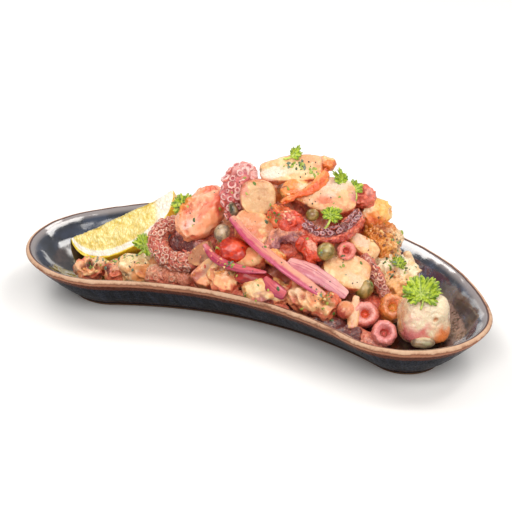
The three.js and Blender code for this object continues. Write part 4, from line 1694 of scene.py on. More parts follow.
@dataclass(frozen=True)
class LemonWedge(Food):
    """A wedge of lemon on its peel, its cut edge from tip to tip."""

    name: str = "lemon_wedge"
    finish: Finish = LemonFlesh()
    left: Triple = (-118.0, 48.0, 19.0)
    right: Triple = (-56.0, 41.0, 53.0)
    body: Triple = (0.0, -0.3, -0.95)
    radius: float = 27.0
    wedge: float = 80.0
    rings: int = 150
    across: int = 64

    def skin(self) -> Skin:
        """The surface.

        At y the lemon's radius is R (1 - |y| ** 2.3) ** (1 / 1.9). The section goes from the
        cut edge out along one cut face, round the peel and back along the other.

        Returns:
            The skin, with the distance below the peel and from the cut edge as its shares.
        """
        left, right = np.array(self.left), np.array(self.right)
        along = unit(right - left)
        half = np.linalg.norm(right - left) / 2
        body = np.array(self.body)
        body = unit(body - along * (body @ along))
        side = np.cross(along, -body)
        fine = -np.cos(np.linspace(0, np.pi, 2001))
        swell = np.maximum(1 - np.abs(fine) ** 2.3, 0) ** (1 / 1.9) * self.radius
        places = even_samples(np.stack([fine * half, swell], axis=-1), self.rings + 2)[1:-1]
        y = np.interp(places, np.arange(len(fine)), fine)
        radius = np.interp(places, np.arange(len(fine)), swell)
        edge = math.radians(self.wedge / 2)
        walk = np.linspace(0, 1, self.across)[1:-1]
        arc = np.linspace(-edge, edge, self.across)
        angle = np.concatenate([[-edge], np.full(len(walk), -edge), arc, np.full(len(walk), edge)])
        reach = np.concatenate([[0.0], walk, np.ones(len(arc)), walk[::-1]])
        peel = np.concatenate([[0.0], np.zeros(len(walk)), np.ones(len(arc)), np.zeros(len(walk))])
        peel[len(walk) + 1] = peel[-len(walk) - 1] = 0.5
        far = radius[:, None] * reach[None]
        centre = (left + right) / 2 + along * (y * half)[:, None]
        flat = side * np.sin(angle)[:, None] + body * np.cos(angle)[:, None]
        rings = centre[:, None] + flat[None] * far[..., None]
        skin = blank_skin(rings, left, right)
        depth = radius[:, None] - far
        skin.share = np.stack([depth, far, np.zeros_like(far)], axis=-1)
        length = np.broadcast_to((y * half)[:, None], far.shape)
        skin.flow = np.stack([length, far, 20 * angle + far * 0], axis=-1)
        skin.hide = np.broadcast_to(peel[None], far.shape).copy()
        normal = skin.normals()
        pulp = smooth_step(4.0, 6.5, depth)
        stretched = skin.flow * np.array([0.9, 0.4, 1.1])
        height = 0.3 * lattice_noise(stretched, 1.0, 3) * pulp - 0.9 * smooth_step(12.0, 24.0, depth)
        height += relief_of(rings, (0.4, 0.2, 0.05), 9)
        skin.rings = rings + normal * (height * smooth_step(0, 3, radius)[:, None])[..., None]
        return skin

    def skins(self) -> list[Skin]:
        """The wedge."""
        return [self.skin()]


# ------------------------------------------------------------------ vegetables
@dataclass(frozen=True)
class OnionFinish(Finish):
    """Finish of pickled red onion: pale in the middle, coloured at its edges, lined along."""

    name: str
    middle: str
    edge: str
    line: str
    slot: str

    def dress(self, g: Graph, shader: bpy.types.NodeInputs) -> None:
        """Colour by the place across, lines by stretched noise, and the mesh's paint.

        Args:
            g: The material's nodes.
            shader: Inputs of the material's shader.
        """
        across = g.split(g.field("share", "Vector"))[1]
        flow = g.field("flow", "Vector")
        lines = g.noise(g.stretch(flow, (0.05, 1.4, 1.4)), 1.0, 3.0)
        cloud = g.noise(flow, 0.16, 3.0)
        place = g.plus(across, g.sway(cloud, 0.9))
        colour = g.over(self.middle, self.edge, place, 0.1, -0.55)
        colour = g.over(colour, self.edge, place, 0.7, 1.0, (0.0, 0.6))
        colour = g.over(colour, self.line, lines, 0.5, 0.66, (0.0, 0.8))
        colour = g.mix(g.field("paint", "Alpha"), colour, g.field("paint", "Color"))
        g.feed(shader, {
            "Base Color": colour, "Normal": g.bump(lines, 0.0003, 0.8),
            "Roughness": g.between(cloud, 0.3, 0.7, (0.18, 0.38)), "Subsurface Weight": 0.3,
            "Subsurface Radius": (1.0, 0.5, 0.7), "Subsurface Scale": 0.002, "Coat Weight": 0.4,
            "Coat Roughness": 0.1,
        })


@dataclass(frozen=True)
class WetSkin(Finish):
    """Finish of a smooth wet vegetable, in two tints, with small pale specks that are painted glints."""

    name: str
    tint: str
    tint_deep: str
    # pale: colour of the painted glints
    pale: str
    slot: str
    shine: float
    # spots: how much the painted glints cover
    spots: float

    def dress(self, g: Graph, shader: bpy.types.NodeInputs) -> None:
        """Two tints by noise, the mesh's paint, and painted glints, pale specks by finer noise.

        Args:
            g: The material's nodes.
            shader: Inputs of the material's shader.
        """
        flow = g.field("flow", "Vector")
        cloud = g.noise(flow, 0.3, 3.0)
        grain = g.noise(flow, 1.3, 4.0, 0.6)
        colour = g.over(self.tint, self.tint_deep, cloud, 0.35, 0.65)
        colour = g.mix(g.field("paint", "Alpha"), colour, g.field("paint", "Color"))
        # painted glints: small pale specks by fine noise
        colour = g.over(colour, self.pale, grain, 0.55, 0.75, (0.0, self.spots))
        g.feed(shader, {
            "Base Color": colour, "Normal": g.bump(grain, 0.0002, 0.6),
            "Roughness": g.between(cloud, 0.3, 0.7, (self.shine, self.shine + 0.2)),
            "Subsurface Weight": 0.15, "Subsurface Scale": 0.002, "Coat Weight": 0.4, "Coat Roughness": 0.08,
        })


PINK_ONION = OnionFinish("pink onion", "E09C80", "C04468", "D0687C", "onion_pink")
MAGENTA_ONION = OnionFinish("magenta onion", "D4666A", "A0284A", "B84058", "onion_pink")
LILAC_ONION = OnionFinish("lilac onion", "ECAAA4", "CC7C86", "BC6878", "onion_lilac")
# The third colour of each wet skin is the pale of its painted glints.
TOMATO = WetSkin("tomato pulp", "D4340E", "A81C06", "F07C44", "tomato_flesh", 0.25, 0.45)
TOMATO_SKIN = WetSkin("tomato peel", "A81008", "800804", "B82818", "tomato_skin", 0.6, 0.05)
CAPER = WetSkin("caper skin", "A08040", "705C24", "CCB478", "caper", 0.25, 0.6)
CAPER_GREY = WetSkin("grey caper skin", "A08460", "6C5440", "D0B89C", "caper", 0.25, 0.6)


@dataclass(frozen=True)
class LeafFinish(Finish):
    """Finish of parsley, bright on its ridges, with painted shade in its folds."""

    name: str = "parsley leaf"
    slot: str = "parsley"
    bright: str = "B8CC36"
    deep: str = "5A7A18"
    vein: str = "D8E47C"

    def dress(self, g: Graph, shader: bpy.types.NodeInputs) -> None:
        """Tints by noise and by the distance from the stalk, painted shade in the folds, and veins.

        Args:
            g: The material's nodes.
            shader: Inputs of the material's shader.
        """
        flow = g.field("flow", "Vector")
        radial, rib, _ = g.split(g.field("share", "Vector"))
        cloud = g.noise(flow, 0.7, 3.0)
        colour = g.over(self.bright, self.deep, cloud, 0.42, 0.66)
        colour = g.over(colour, self.deep, radial, 0.35, 0.05, (0.0, 0.7))
        # painted shade in the folds, where the pit field marks the ruffles' troughs
        colour = g.mix(g.times(g.field("pit", "Fac"), 0.8), colour, self.deep)
        colour = g.over(colour, self.vein, rib, 0.06, 0.02, (0.0, 0.5))
        g.feed(shader, {
            "Base Color": colour, "Normal": g.bump(g.noise(flow, 1.6, 3.0), 0.0003, 0.7), "Roughness": 0.38,
        })


@dataclass(frozen=True)
class Leaflet:
    """One leaflet: a thin blade with three lobes, toothed, folded along its rib."""

    at: Triple
    face: Triple
    radius: float
    droop: float
    seed: int
    narrow: float
    thickness: float = 0.4
    sides: int = 168
    steps: int = 11
    bell: float = 0.68
    tooth_waves: float = 10.5

    def skin(self) -> Skin:
        """The blade.

        The outline is radius (0.3 + 0.7 b) t, where b is the highest of three bells
        exp(-((a - c) / bell) ** 2) round the lobes' angles c, and the teeth are
        t = 0.84 + 0.26 |cos(tooth_waves a)| ** 0.7. The rings go from the stalk's end out over the
        upper side and back under it. The blade folds up from its rib, ruffles at its edge
        and droops along its length.

        Returns:
            The skin, with the radial share and the distance from a rib as its shares.
        """
        along, across, out = axes_of(self.face)
        angle = np.linspace(-np.pi, np.pi, self.sides, endpoint=False)
        lobes = np.array([[0.0, 1.0], [1.08, 0.8], [-1.08, 0.8]])
        off = angle[None] - lobes[:, :1]
        bow = (lobes[:, 1:] * np.exp(-((off / self.bell) ** 2))).max(axis=0)
        teeth = 0.84 + 0.26 * np.abs(np.cos(self.tooth_waves * angle)) ** 0.7
        edge = self.radius * (0.3 + 0.7 * bow) * teeth
        up = np.linspace(0.05, 1.0, self.steps)
        share = np.concatenate([up, [1.01], up[::-1]])
        upper = np.ones(self.steps)
        lift = np.concatenate([upper, [0.0], -upper]) * self.thickness / 2
        r = share[:, None] * edge[None]
        a = np.broadcast_to(angle[None], r.shape)
        x, y = r * np.cos(a) / self.radius, r * np.sin(a) / self.radius
        flat = np.hypot(x, y)
        ruffle = np.sin(9 * a + self.seed) * smooth_step(0.2, 0.7, flat)
        height = 0.35 * np.abs(y) + 0.13 * flat * ruffle
        height = height + 0.08 * flat * np.sin(4 * a + 2 * self.seed) - self.droop * x * np.abs(x)
        height = self.radius * height + lift[:, None]
        rings = np.array(self.at) + (self.radius * x)[..., None] * along
        rings = rings + (self.radius * y * self.narrow)[..., None] * across + height[..., None] * out
        skin = blank_skin(rings)
        rib = (flat[None] * np.abs(np.sin(a[None] - lobes[:, :1, None]))).min(axis=0)
        skin.share = np.stack([flat, rib, np.zeros_like(r)], axis=-1)
        skin.flow = rings + 11.0 * self.seed
        # pit marks the ruffles' troughs, where the leaf finish paints shade
        skin.pit = smooth_step(0.1, -0.8, ruffle)
        return skin


@dataclass(frozen=True)
class Sprig(Food):
    """A sprig of parsley, leaflets in a fan on one bent stalk."""

    name: str
    at: Triple
    face: Triple
    size: float
    leaflets: int
    spread: float
    droop: float
    narrow: float
    stalk: float
    seed: int
    finish: Finish = LeafFinish()
    second: "Sprig | None" = None

    def blades(self) -> list[Skin]:
        """The leaflets, the middle one longest and each tilted its own way.

        Returns:
            Their skins, after those of the second sprig.
        """
        turn, lean, roll = self.face
        middle = (self.leaflets - 1) / 2
        skins = self.second.skins() if self.second else []
        for k in range(self.leaflets):
            swing = (k - middle) * self.spread
            face = (
                turn + 12 * math.sin(2.1 * k + self.seed),
                lean + 12 * math.cos(1.7 * k + self.seed),
                roll + swing,
            )
            along, _, out = axes_of(face)
            start = np.array(self.at) + 0.1 * self.size * along + out * (0.25 * k - 0.3)
            length = self.size * (1 - 0.1 * abs(k - middle))
            blade = Leaflet(tuple(start), face, length, self.droop, self.seed + 3 * k, self.narrow)
            skins.append(blade.skin())
        return skins

    def stem(self) -> Skin:
        """The stalk, back from the fan's middle and down.

        Returns:
            Its skin.
        """
        along, across, out = axes_of(self.face)
        start = np.array(self.at) + 0.2 * self.size * along
        bend = np.array(self.at) - along * self.stalk * 0.5 - out * self.stalk * 0.1
        end = np.array(self.at) - along * self.stalk - out * self.stalk * 0.35 + across * 0.2 * self.stalk
        stalk = Morsel("stalk", Form.BAND, LeafFinish(), self.face, (0.6, 0.55),
                       route=(tuple(start), tuple(bend), tuple(end)), relief=(0.0, 0.0, 0.0))
        skin = stalk.skin()
        skin.share[:] = (0.6, 0.02, 0.0)
        return skin

    def skins(self) -> list[Skin]:
        """The leaflets and the stalk."""
        return [*self.blades(), self.stem()]


# ------------------------------------------------------------------ heap
@dataclass(frozen=True)
class Heap(Food):
    """Octopus under and behind the pieces that show: a dome with rows of pieces on it."""

    name: str = "octopus_heap"
    x: float = 12.0
    y: float = 3.0
    half_length: float = 64.0
    half_width: float = 50.0
    top: float = 70.0
    slope: float = 1.55
    rows: tuple[tuple[float, int, float, float], ...] = (
        (0.90, 6, 6, 168), (0.62, 5, 0, 180), (0.36, 3, 20, 150), (0.14, 1, 90, 90),
    )
    rings: int = 90
    sides: int = 200
    below: float = 2.0
    relief: Triple = (2.2, 1.6, 0.5)
    crags: float = 1.2
    piece: float = 14.5
    piece_change: float = 2.5
    piece_width: float = 0.66
    piece_depth: float = 0.55
    back_step: float = 1.0
    front_step: float = 0.95

    def point(self, radius: float, angle: float, sink: float) -> Triple:
        """Point of the dome at a share of its radius, sunk by a little.

        Args:
            radius: Share of the dome's radius.
            angle: Angle round the dome, in radians.
            sink: How far under the dome it lies.

        Returns:
            The point.
        """
        height = DISH.floor + (self.top - DISH.floor) * (1 - radius**self.slope)
        return (
            self.x + self.half_length * radius * math.cos(angle),
            self.y + self.half_width * radius * math.sin(angle),
            height - sink,
        )

    def core(self) -> Skin:
        """The dome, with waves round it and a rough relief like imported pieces.

        Returns:
            Its skin.
        """
        radius = np.linspace(0.01, 1.0, self.rings)
        angle = circle(self.sides)
        height = DISH.floor + (self.top - DISH.floor) * (1 - radius**self.slope)
        height[-1] -= self.below
        swell = 1 + 0.04 * np.sin(5 * angle)[None] + 0.03 * np.sin(3 * angle[None] + height[:, None] / 9)
        r = radius[:, None] * swell
        rings = np.stack(
            [
                self.x + self.half_length * r * np.cos(angle),
                self.y + self.half_width * r * np.sin(angle),
                np.broadcast_to(height[:, None], r.shape),
            ],
            axis=-1,
        )
        foot = np.array([self.x, self.y, DISH.floor - self.below])
        skin = blank_skin(rings, last=foot)
        normal = skin.normals()
        bumps = relief_of(rings, self.relief, 4, self.crags)
        skin.rings = rings + normal * bumps[..., None] - normal * self.crags
        skin.hide = smooth_step(-0.4, 0.4, lattice_noise(rings, 9.0, 8))
        return skin

    def pieces(self) -> list[Morsel]:
        """Arms, chunks, slices and logs in rows up the dome's back and sides.

        Returns:
            The pieces.
        """
        forms = [Form.ARM, Form.CHUNK, Form.SLICE, Form.CHUNK, Form.LOG]
        pieces: list[Morsel] = []
        for level, (radius, count, start, end) in enumerate(self.rows):
            for k in range(count):
                angle = math.radians(start + (end - start) * (k / (count - 1) if count > 1 else 0.5))
                seed = 3 * level + k
                size = self.piece + self.piece_change * math.sin(2.3 * seed)
                form = forms[(k + 2 * level) % len(forms)]
                piece = Arm if form is Form.ARM else Morsel
                pieces.append(
                    piece(
                        f"heap_{level}_{k}", form, BACK_FINISHES[(k + 3 * level) % len(BACK_FINISHES)],
                        (90 + math.degrees(angle), 38 + 12 * level, 70 * seed),
                        (size, self.piece_width * size, self.piece_depth * size),
                        at=self.point(radius, angle, 1.0), seed=seed, step=self.back_step,
                        cut=(Cut.FACES, Cut.ENDS, Cut.NONE)[seed % 3], crags=0.7 * (seed % 2), cuts=2,
                    )
                )
        return pieces

    def front(self) -> list[Morsel]:
        """Strips and cut ends that show low down between the front pieces.

        Returns:
            The pieces.
        """
        return [
            Morsel("under_tomato", Form.CHUNK, PEACH, (-10, 40, 0), (9, 7, 7), at=(-11, -32, 43)),
            Morsel("under_arch", Form.CHUNK, CORAL, (10, 40, 0), (10, 7, 7), at=(9, -28, 46), cut=Cut.NONE),
            Morsel("under_gap", Form.CHUNK, CORAL, (15, 40, 0), (9, 6, 6), at=(17, -37, 41), cut=Cut.NONE),
            Morsel("under_wedge", Form.CHUNK, CREAM, (-25, 40, 45), (8, 6, 6), at=(-27, -29, 34)),
            Morsel("under_left", Form.LOG, PINK, (0, 40, 0), (5, 4.5), cut=Cut.NONE,
                   route=((-24, -36, 24), (-6, -48, 23), (10, -55, 21))),
            Morsel("under_right", Form.LOG, SHADE, (0, 40, 0), (4.5, 4), cut=Cut.NONE, crags=1.0,
                   # painted shade: a near-black dab for the dark gap between log_front and the lip
                   dabs=(Dab((0, 0, 0.6), 3.0, "34181C", 0.85),),
                   route=((24, -58, 20), (36, -64, 17), (48, -70, 15))),
            Morsel("under_cups", Form.LOG, PINK, (0, 40, 0), (4, 3.5), cut=Cut.NONE,
                   route=((42, -64, 17), (50, -69, 14), (60, -74, 12))),
            Morsel("under_strip", Form.CHUNK, CORAL, (0, 40, 10), (9, 7, 7), at=(54, -44, 17), cut=Cut.NONE),
            Morsel("under_mantle", Form.CHUNK, SHADE, (-30, 40, 20), (18, 15, 15), at=(-40, 4, 33),
                   # painted shade: a dark plum dab for the hollow under the mantle
                   cut=Cut.NONE, dabs=(Dab((-0.4, -0.4, 0.6), 1.0, "3A141C"),)),
            Morsel("under_left_end", Form.CHUNK, PEACH, (-20, 50, 0), (12, 10, 8), at=(-62, 2, 19)),
            Morsel("under_shoulder", Form.CHUNK, CORAL, (40, 40, 0), (13, 12, 12), at=(50, 4, 50),
                   cut=Cut.NONE),
            Morsel("under_herbed", Form.CHUNK, ORANGE, (30, 40, 0), (11, 11, 10), at=(68, -20, 24),
                   cut=Cut.NONE),
        ]

    def build(self) -> None:
        """Makes, dresses and places the heap as one piece with several finishes."""
        finishes = [SHADE, *BACK_FINISHES]
        maker = MeshMaker(self.name)
        maker.add(inside_dish(self.core()))
        for piece in [*self.pieces(), *(replace(p, step=self.front_step) for p in self.front())]:
            for skin in piece.skins():
                skin.finish = finishes.index(piece.finish)
                maker.add(inside_dish(skin))
        settle(maker.build([finish.material() for finish in finishes]), "octopus_peach", self.name)
        FOUND[self.name] = maker.skins


BACK_FINISHES = [PINK, CREAM, PEACH, CORAL, ORANGE]


# ------------------------------------------------------------------ the pieces that show
def upper_pieces() -> list[Morsel]:
    """The summit, the shoulders and the two arms near the top.

    Returns:
        The pieces.
    """
    return [
        Morsel("slice_summit", Form.SLICE, CREAM, (-8, 42, 7), (17.5, 7.6, 4.6), at=(12, -3, 83),
               taper=(0.7, 0.95, 1.05, 1.0), fullness=(6, 7, 4), cuts=2, keep=0.92, dabs=(
                   Dab((-0.55, -0.3, 0.9), 0.6, "FCF0DC"), Dab((0.3, -0.2, 1.0), 0.5, "F8D8A4", 0.7),
                   Dab((0.95, -0.3, 0.6), 0.35, "EC7440"), Dab((0.5, 0.5, 0.9), 0.5, "F0B484", 0.8),
                   Dab((-0.3, 1.0, 0.2), 0.5, "A08840", 0.8), Dab((-1.0, 0.1, 0.5), 0.2, "8C7838", 0.7),
                   Dab((0.0, -1.0, 0.2), 0.3, "A85830", 0.7))),
        Morsel("nub_summit", Form.CHUNK, ORANGE, (0, 30, 5), (6.2, 4.3, 4.3), at=(31, 4, 84), cut=Cut.NONE,
               crags=0.5, cuts=3, dabs=(Dab((-0.5, 0.5, 0.6), 0.7, "F8D8B0", 0.8),
                                        Dab((0.8, -0.2, 0.6), 0.5, "C8501C"))),
        Morsel("disc_top", Form.SLICE, CREAM, (8, 18, 0), (9.8, 9.6, 7), at=(-7, -12, 71), cuts=3, keep=0.93,
               whorl=Whorl((0.0, 0.0, 1.0), 9.0, 0.4, 0.05), relief=(0.4, 0.2, 0.1), dabs=(
                   Dab((0.0, 0.0, 1.0), 1.2, "E2BB89"), Dab((-0.8, 0.5, 0.8), 0.35, "E6917E", 0.8),
                   Dab((-0.95, -0.2, 0.6), 0.25, "B24A6F", 0.8), Dab((0.85, -0.5, 0.5), 0.2, "97592C", 0.8))),
        Arm("arm_top_left", Form.ARM, ROSE, (-15, 25, 0), (6.2, 6.2), cut=Cut.NONE,
            route=((-19, -9, 58), (-21, -8, 67), (-20, -5, 75), (-15, -1, 80), (-9, 0, 77)),
            taper=(0.75, 0.8, 1.0, 1.1, 0.95), suckers=30, rows=3, radius=2.0, row_angle=0.8,
            relief=(1.0, 1.2, 0.6), rim="FCD4CC", hollow="C86468", bed="B8506A", bed_cover=0.5,
            dabs=(Dab((-0.9, -0.2, 0.6), 0.7, "E05048"), Dab((0.6, 0.3, 0.8), 0.6, "F8C8BC", 0.6))),
        Morsel("skin_strip", Form.LOG, ORANGE, (10, 30, 0), (2.8, 2.4), cut=Cut.NONE, crags=0.5,
               route=((31, -2, 84), (29, -9, 81), (22, -15, 77), (14, -19, 74), (6, -20, 71)),
               taper=(0.8, 1.3, 0.9, 0.6, 0.8), dabs=(
                   Dab((-0.8, 0, 0), 0.5, "F07030", 0.8), Dab((0.9, 0, 0), 0.5, "F09840"),
                   Dab((0.0, 0.3, 0.6), 1.0, "EC5820", 0.85), Dab((-0.3, -0.5, 0.6), 0.3, "B03018", 0.8))),
        Morsel("wedge_under", Form.CHUNK, ORANGE, (0, 20, 8), (12, 5.5, 6), at=(16, -10, 75), cut=Cut.NONE,
               cuts=2, crags=0.5, dabs=(
                   Dab((-0.95, 0.5, 0.5), 0.45, "3C1418", 0.95), Dab((0.35, 0.2, 1.0), 0.5, "FCE0B8", 0.85),
                   Dab((-0.3, -0.2, 0.9), 0.4, "EC7430", 0.7))),
        Morsel("slice_shoulder", Form.SLICE, PEACH, (15, 40, -10), (18.5, 10, 5.5), at=(29, -12, 71),
               taper=(0.35, 0.9, 1.15, 1.05), fullness=(3.5, 6, 4), cuts=3, keep=0.9, dabs=(
                   Dab((-0.45, 0.1, 1.0), 0.7, "F1C99C"), Dab((0.0, -0.35, 1.0), 0.3, "E77242", 0.8),
                   Dab((0.3, 0.6, 1.0), 0.6, "F6E0C5"), Dab((0.95, -0.1, 0.9), 0.3, "DF9491", 0.7),
                   Dab((-0.6, -0.9, 0.4), 0.4, "4E1E25", 0.8))),
        Morsel("stub_right_top", Form.CHUNK, CORAL, (20, 30, -20), (8.5, 6.2, 6.8), at=(50, -4, 68),
               cut=Cut.NONE, crags=0.7, dabs=(
                   # the small pale pink FCB8A8 dab is a painted highlight
                   Dab((0.2, -0.1, 0.9), 1.0, "F4785C", 0.85), Dab((0.3, 0.3, 1.0), 0.3, "FCB8A8"),
                   Dab((-0.6, 0.0, 0.8), 0.4, "D07884", 0.7))),
        Morsel("wedge_right", Form.LOG, ORANGE, (20, 30, 0), (7.4, 6.8), cut=Cut.NONE, crags=0.8,
               route=((51, -6, 57), (60, -1, 57), (69, 3, 56)), taper=(1, 1.1, 0.9, 0.35),
               fullness=(3, 3, 2.6), dabs=(
                   Dab((0.7, 0, 0.5), 1.3, "FFD478", 0.95), Dab((0.0, 0.5, 0.8), 0.8, "FFC868"),
                   Dab((-0.8, 0.6, 0.6), 0.6, "FCE8C0"), Dab((-0.6, -0.5, 0.7), 0.4, "E05C30", 0.8))),
        Arm("arm_smile", Form.ARM, CORAL, (0, 62, 0), (4.9, 4.9), cut=Cut.NONE, crags=0.3,
            route=(
                (15, -24, 64), (20, -29, 59), (29, -33, 56.5), (39, -30, 58), (45, -23, 60), (49, -17, 63)
            ),
            taper=(0.7, 1, 1, 1, 0.9), suckers=50, radius=1.15, row_angle=0.32,
            relief=(0.6, 0.9, 0.6), rim="C4A8B0", hollow="5A2C40", bed="3C1424", bed_cover=0.95, dabs=(
                Dab((1.0, 0.2, 0.2), 0.25, "F8E0C4"), Dab((-0.9, 0.0, 0.2), 0.3, "E06048", 0.7),
                Dab((0.1, -0.9, 0.2), 0.4, "B84C58", 0.6))),
        Morsel("chunk_red", Form.LOG, RED, (0, 40, 0), (6.5, 6), cut=Cut.NONE, lumps=0.14, cuts=2,
               route=((1, -20, 67), (9, -26, 63), (16, -30, 58)), crags=0.9, dabs=(
                   Dab((-0.6, 0.3, 0.8), 0.6, "EE9448", 0.85), Dab((0.2, 0, 0.9), 0.6, "E44C34", 0.85),
                   # the small pale pink FCB09C dab is a painted highlight
                   Dab((-0.3, -0.4, 1.0), 0.3, "8C7430", 0.7), Dab((0.2, 0.3, 1.0), 0.25, "FCB09C", 0.8))),
        Morsel("chunk_rust", Form.CHUNK, RUST, (20, 30, -30), (12, 10.5, 9), at=(62, -9, 43), lumps=0.1,
               cut=Cut.NONE, crags=1.0, relief=(1.0, 1.0, 0.8), dabs=(
                   Dab((0.3, -0.2, 0.8), 0.8, "FCB45C", 0.7), Dab((0.9, 0.3, 0.6), 0.85, "FCE0B4", 0.95),
                   Dab((0.6, -0.8, 0.3), 0.4, "A89830", 0.8), Dab((-0.5, 0.6, 0.6), 0.5, "A84C18", 0.7))),
        Morsel("mantle_glossy", Form.LOG, GLOSSY, (-20, 30, 0), (9.6, 9.0), cut=Cut.ALL, crags=0.7,
               route=((-50, -7, 48), (-42, -5, 53), (-33, 1, 61), (-27, 8, 68)), lumps=0.12,
               taper=(0.95, 1.15, 1.05, 0.8), fullness=(3.4, 3, 2.4), relief=(1.6, 0.5, 0.15), dabs=(
                   # the small white-pink FCD4C8 dab is a painted highlight
                   Dab((-0.3, 0.1, 1.0), 0.8, "FAB088", 0.8), Dab((-0.55, -0.2, 0.9), 0.3, "FCD4C8", 0.95),
                   Dab((0.45, -0.6, 0.7), 0.6, "E86C54"), Dab((0.8, 0.3, 0.8), 0.5, "F07850", 0.85),
                   Dab((-0.6, -0.9, 0.3), 0.4, "E8704C", 0.7), Dab((-0.2, 0.9, 0.5), 0.5, "F09434", 0.85))),
    ]


def middle_pieces() -> list[Morsel]:
    """Slices, strips and the curled arm half way up the heap.

    Returns:
        The pieces.
    """
    return [
        Morsel("tomato_half", Form.CHUNK, TOMATO, (0, 50, -12), (10, 7.5, 6.5), at=(-20, -30, 47), cuts=2,
               relief=(1.1, 0.6, 0.1), dabs=(
                   Dab((0.2, 0.2, 1.0), 0.5, "F05C34", 0.7), Dab((0.75, -0.5, 0.5), 0.4, "A01410", 0.8),
                   Dab((-0.9, 0.3, 0.5), 0.3, "7C6424", 0.8))),
        Morsel("slice_centre", Form.SLICE, CREAM, (0, 45, -30), (12, 9.5, 6), at=(-8, -22, 56), cuts=4,
               keep=0.86, dabs=(
                   Dab((-0.3, 0.1, 1.0), 0.8, "EAA172", 0.85), Dab((0.7, 0.2, 0.9), 0.5, "D17E49", 0.85),
                   Dab((0.2, -0.7, 0.8), 0.6, "E8855F", 0.8), Dab((0.5, 0.7, 0.8), 0.3, "877337", 0.8),
                   Dab((-0.9, -0.4, 0.5), 0.4, "D16F5F", 0.8))),
        Morsel("arch_mauve", Form.LOG, MAUVE, (0, 40, 0), (4.4, 5), cut=Cut.NONE, crags=0.9,
               route=((-1, -34, 48), (4, -31, 55), (12, -31, 57), (19, -34, 52)), dabs=(
                   Dab((0.0, 0.6, 0.8), 1.1, "F8A880", 0.95), Dab((0.8, 0.2, 0.6), 0.6, "EE8C74"),
                   Dab((-0.5, 0.2, 0.7), 0.4, "E8907C", 0.8), Dab((-0.2, -0.8, 0.5), 0.4, "6C3450", 0.7))),
        Morsel("bit_orange", Form.CHUNK, ORANGE, (0, 40, -10), (5.8, 4, 5), at=(3, -38, 46), cut=Cut.NONE,
               cuts=2, crags=0.6, dabs=(Dab((-0.3, 0.2, 1.0), 0.6, "F6C088", 0.7),)),
        Morsel("slivers_coral", Form.LOG, RED, (0, 40, 0), (4.5, 4), cut=Cut.NONE, crags=1.1,
               route=((17, -34, 56), (21, -38, 52), (25, -42, 45)),
               dabs=(Dab((0.0, 0.3, 1.0), 0.5, "FAB498", 0.85), Dab((-0.4, -0.4, 0.8), 0.3, "C83C24", 0.8))),
        Morsel("slice_broad", Form.SLICE, CREAM, (10, 45, -25), (13.5, 10.5, 5.5), at=(41, -40, 39), cuts=4,
               keep=0.88, fullness=(3, 6, 4), dabs=(
                   Dab((-0.2, 0.2, 1.0), 0.9, "FACD96", 0.8), Dab((0.5, -0.5, 1.0), 0.5, "FCD8B0", 0.8),
                   Dab((0.5, 0.8, 0.8), 0.4, "F4A775", 0.7), Dab((-0.6, 0.7, 0.9), 0.3, "A0883A", 0.6))),
        Morsel("slice_white", Form.SLICE, CREAM, (25, 40, -48), (9.5, 5.5, 4.5), at=(51, -23, 46),
               taper=(0.8, 1.0, 0.9), fullness=(4, 5, 3), dabs=(
                   Dab((-0.4, 0.1, 1.0), 0.8, "F4D5B3"), Dab((0.7, -0.3, 0.8), 0.5, "F0C18C", 0.8))),
        Arm("arm_right_strip", Form.ARM, PINK, (-5, 40, 0), (3.7, 3.7), cut=Cut.NONE,
            route=((51, -31, 45), (55, -36, 39), (60, -41, 32), (64, -45, 23)), taper=(0.7, 1, 1, 0.9),
            suckers=26, radius=1.3, row_angle=0.4, relief=(0.6, 0.9, 0.6), rim="F8C8B4",
            hollow="984448", bed="B8685C", bed_cover=0.7, dabs=(
                Dab((-0.2, -0.9, 0.2), 0.9, "EC9C74", 0.8), Dab((0.8, 0.4, 0.3), 0.4, "E87058", 0.8))),
        Arm("arm_left_curl", Form.ARM, PINK, (-30, 14, 0), (5.4, 5.4), cut=Cut.NONE,
            route=((-50, 16, 44), (-59, 10, 43), (-63, 1, 39), (-59, -7, 34), (-50, -12, 32), (-40, -16, 33)),
            taper=(0.7, 0.95, 1, 1, 0.95, 0.9), suckers=76, rows=4, radius=1.45, row_angle=0.95, rim="FFD8C0",
            hollow="D86C54", bed="CC5848", bed_cover=0.6, relief=(0.6, 0.8, 0.4),
            dabs=(Dab((0.8, 0.2, 0.7), 0.5, "F09C80", 0.6), Dab((-0.8, 0.3, 0.6), 0.4, "843848", 0.5))),
        Morsel("slice_left_edge", Form.SLICE, CREAM, (-25, 20, 50), (8.5, 6.5, 3.4), at=(-37, -18, 39),
               cuts=3, dabs=(
                   Dab((0.1, 0.2, 1.0), 1.2, "C48860", 0.95), Dab((0.2, -0.9, 0.5), 0.8, "4C1C14", 0.95))),
        Morsel("slice_left_low", Form.SLICE, PEACH, (0, 45, 42), (10.5, 6.5, 4), at=(-33, -26, 32), cuts=3,
               keep=0.84, fullness=(5, 7, 4.5), dabs=(
                   Dab((0.0, 0.0, 1.0), 0.7, "C8A888", 0.8), Dab((-0.7, 0.4, 0.8), 0.5, "B25E4C", 0.8),
                   Dab((0.4, -0.7, 0.8), 0.6, "945648", 0.8))),
    ]


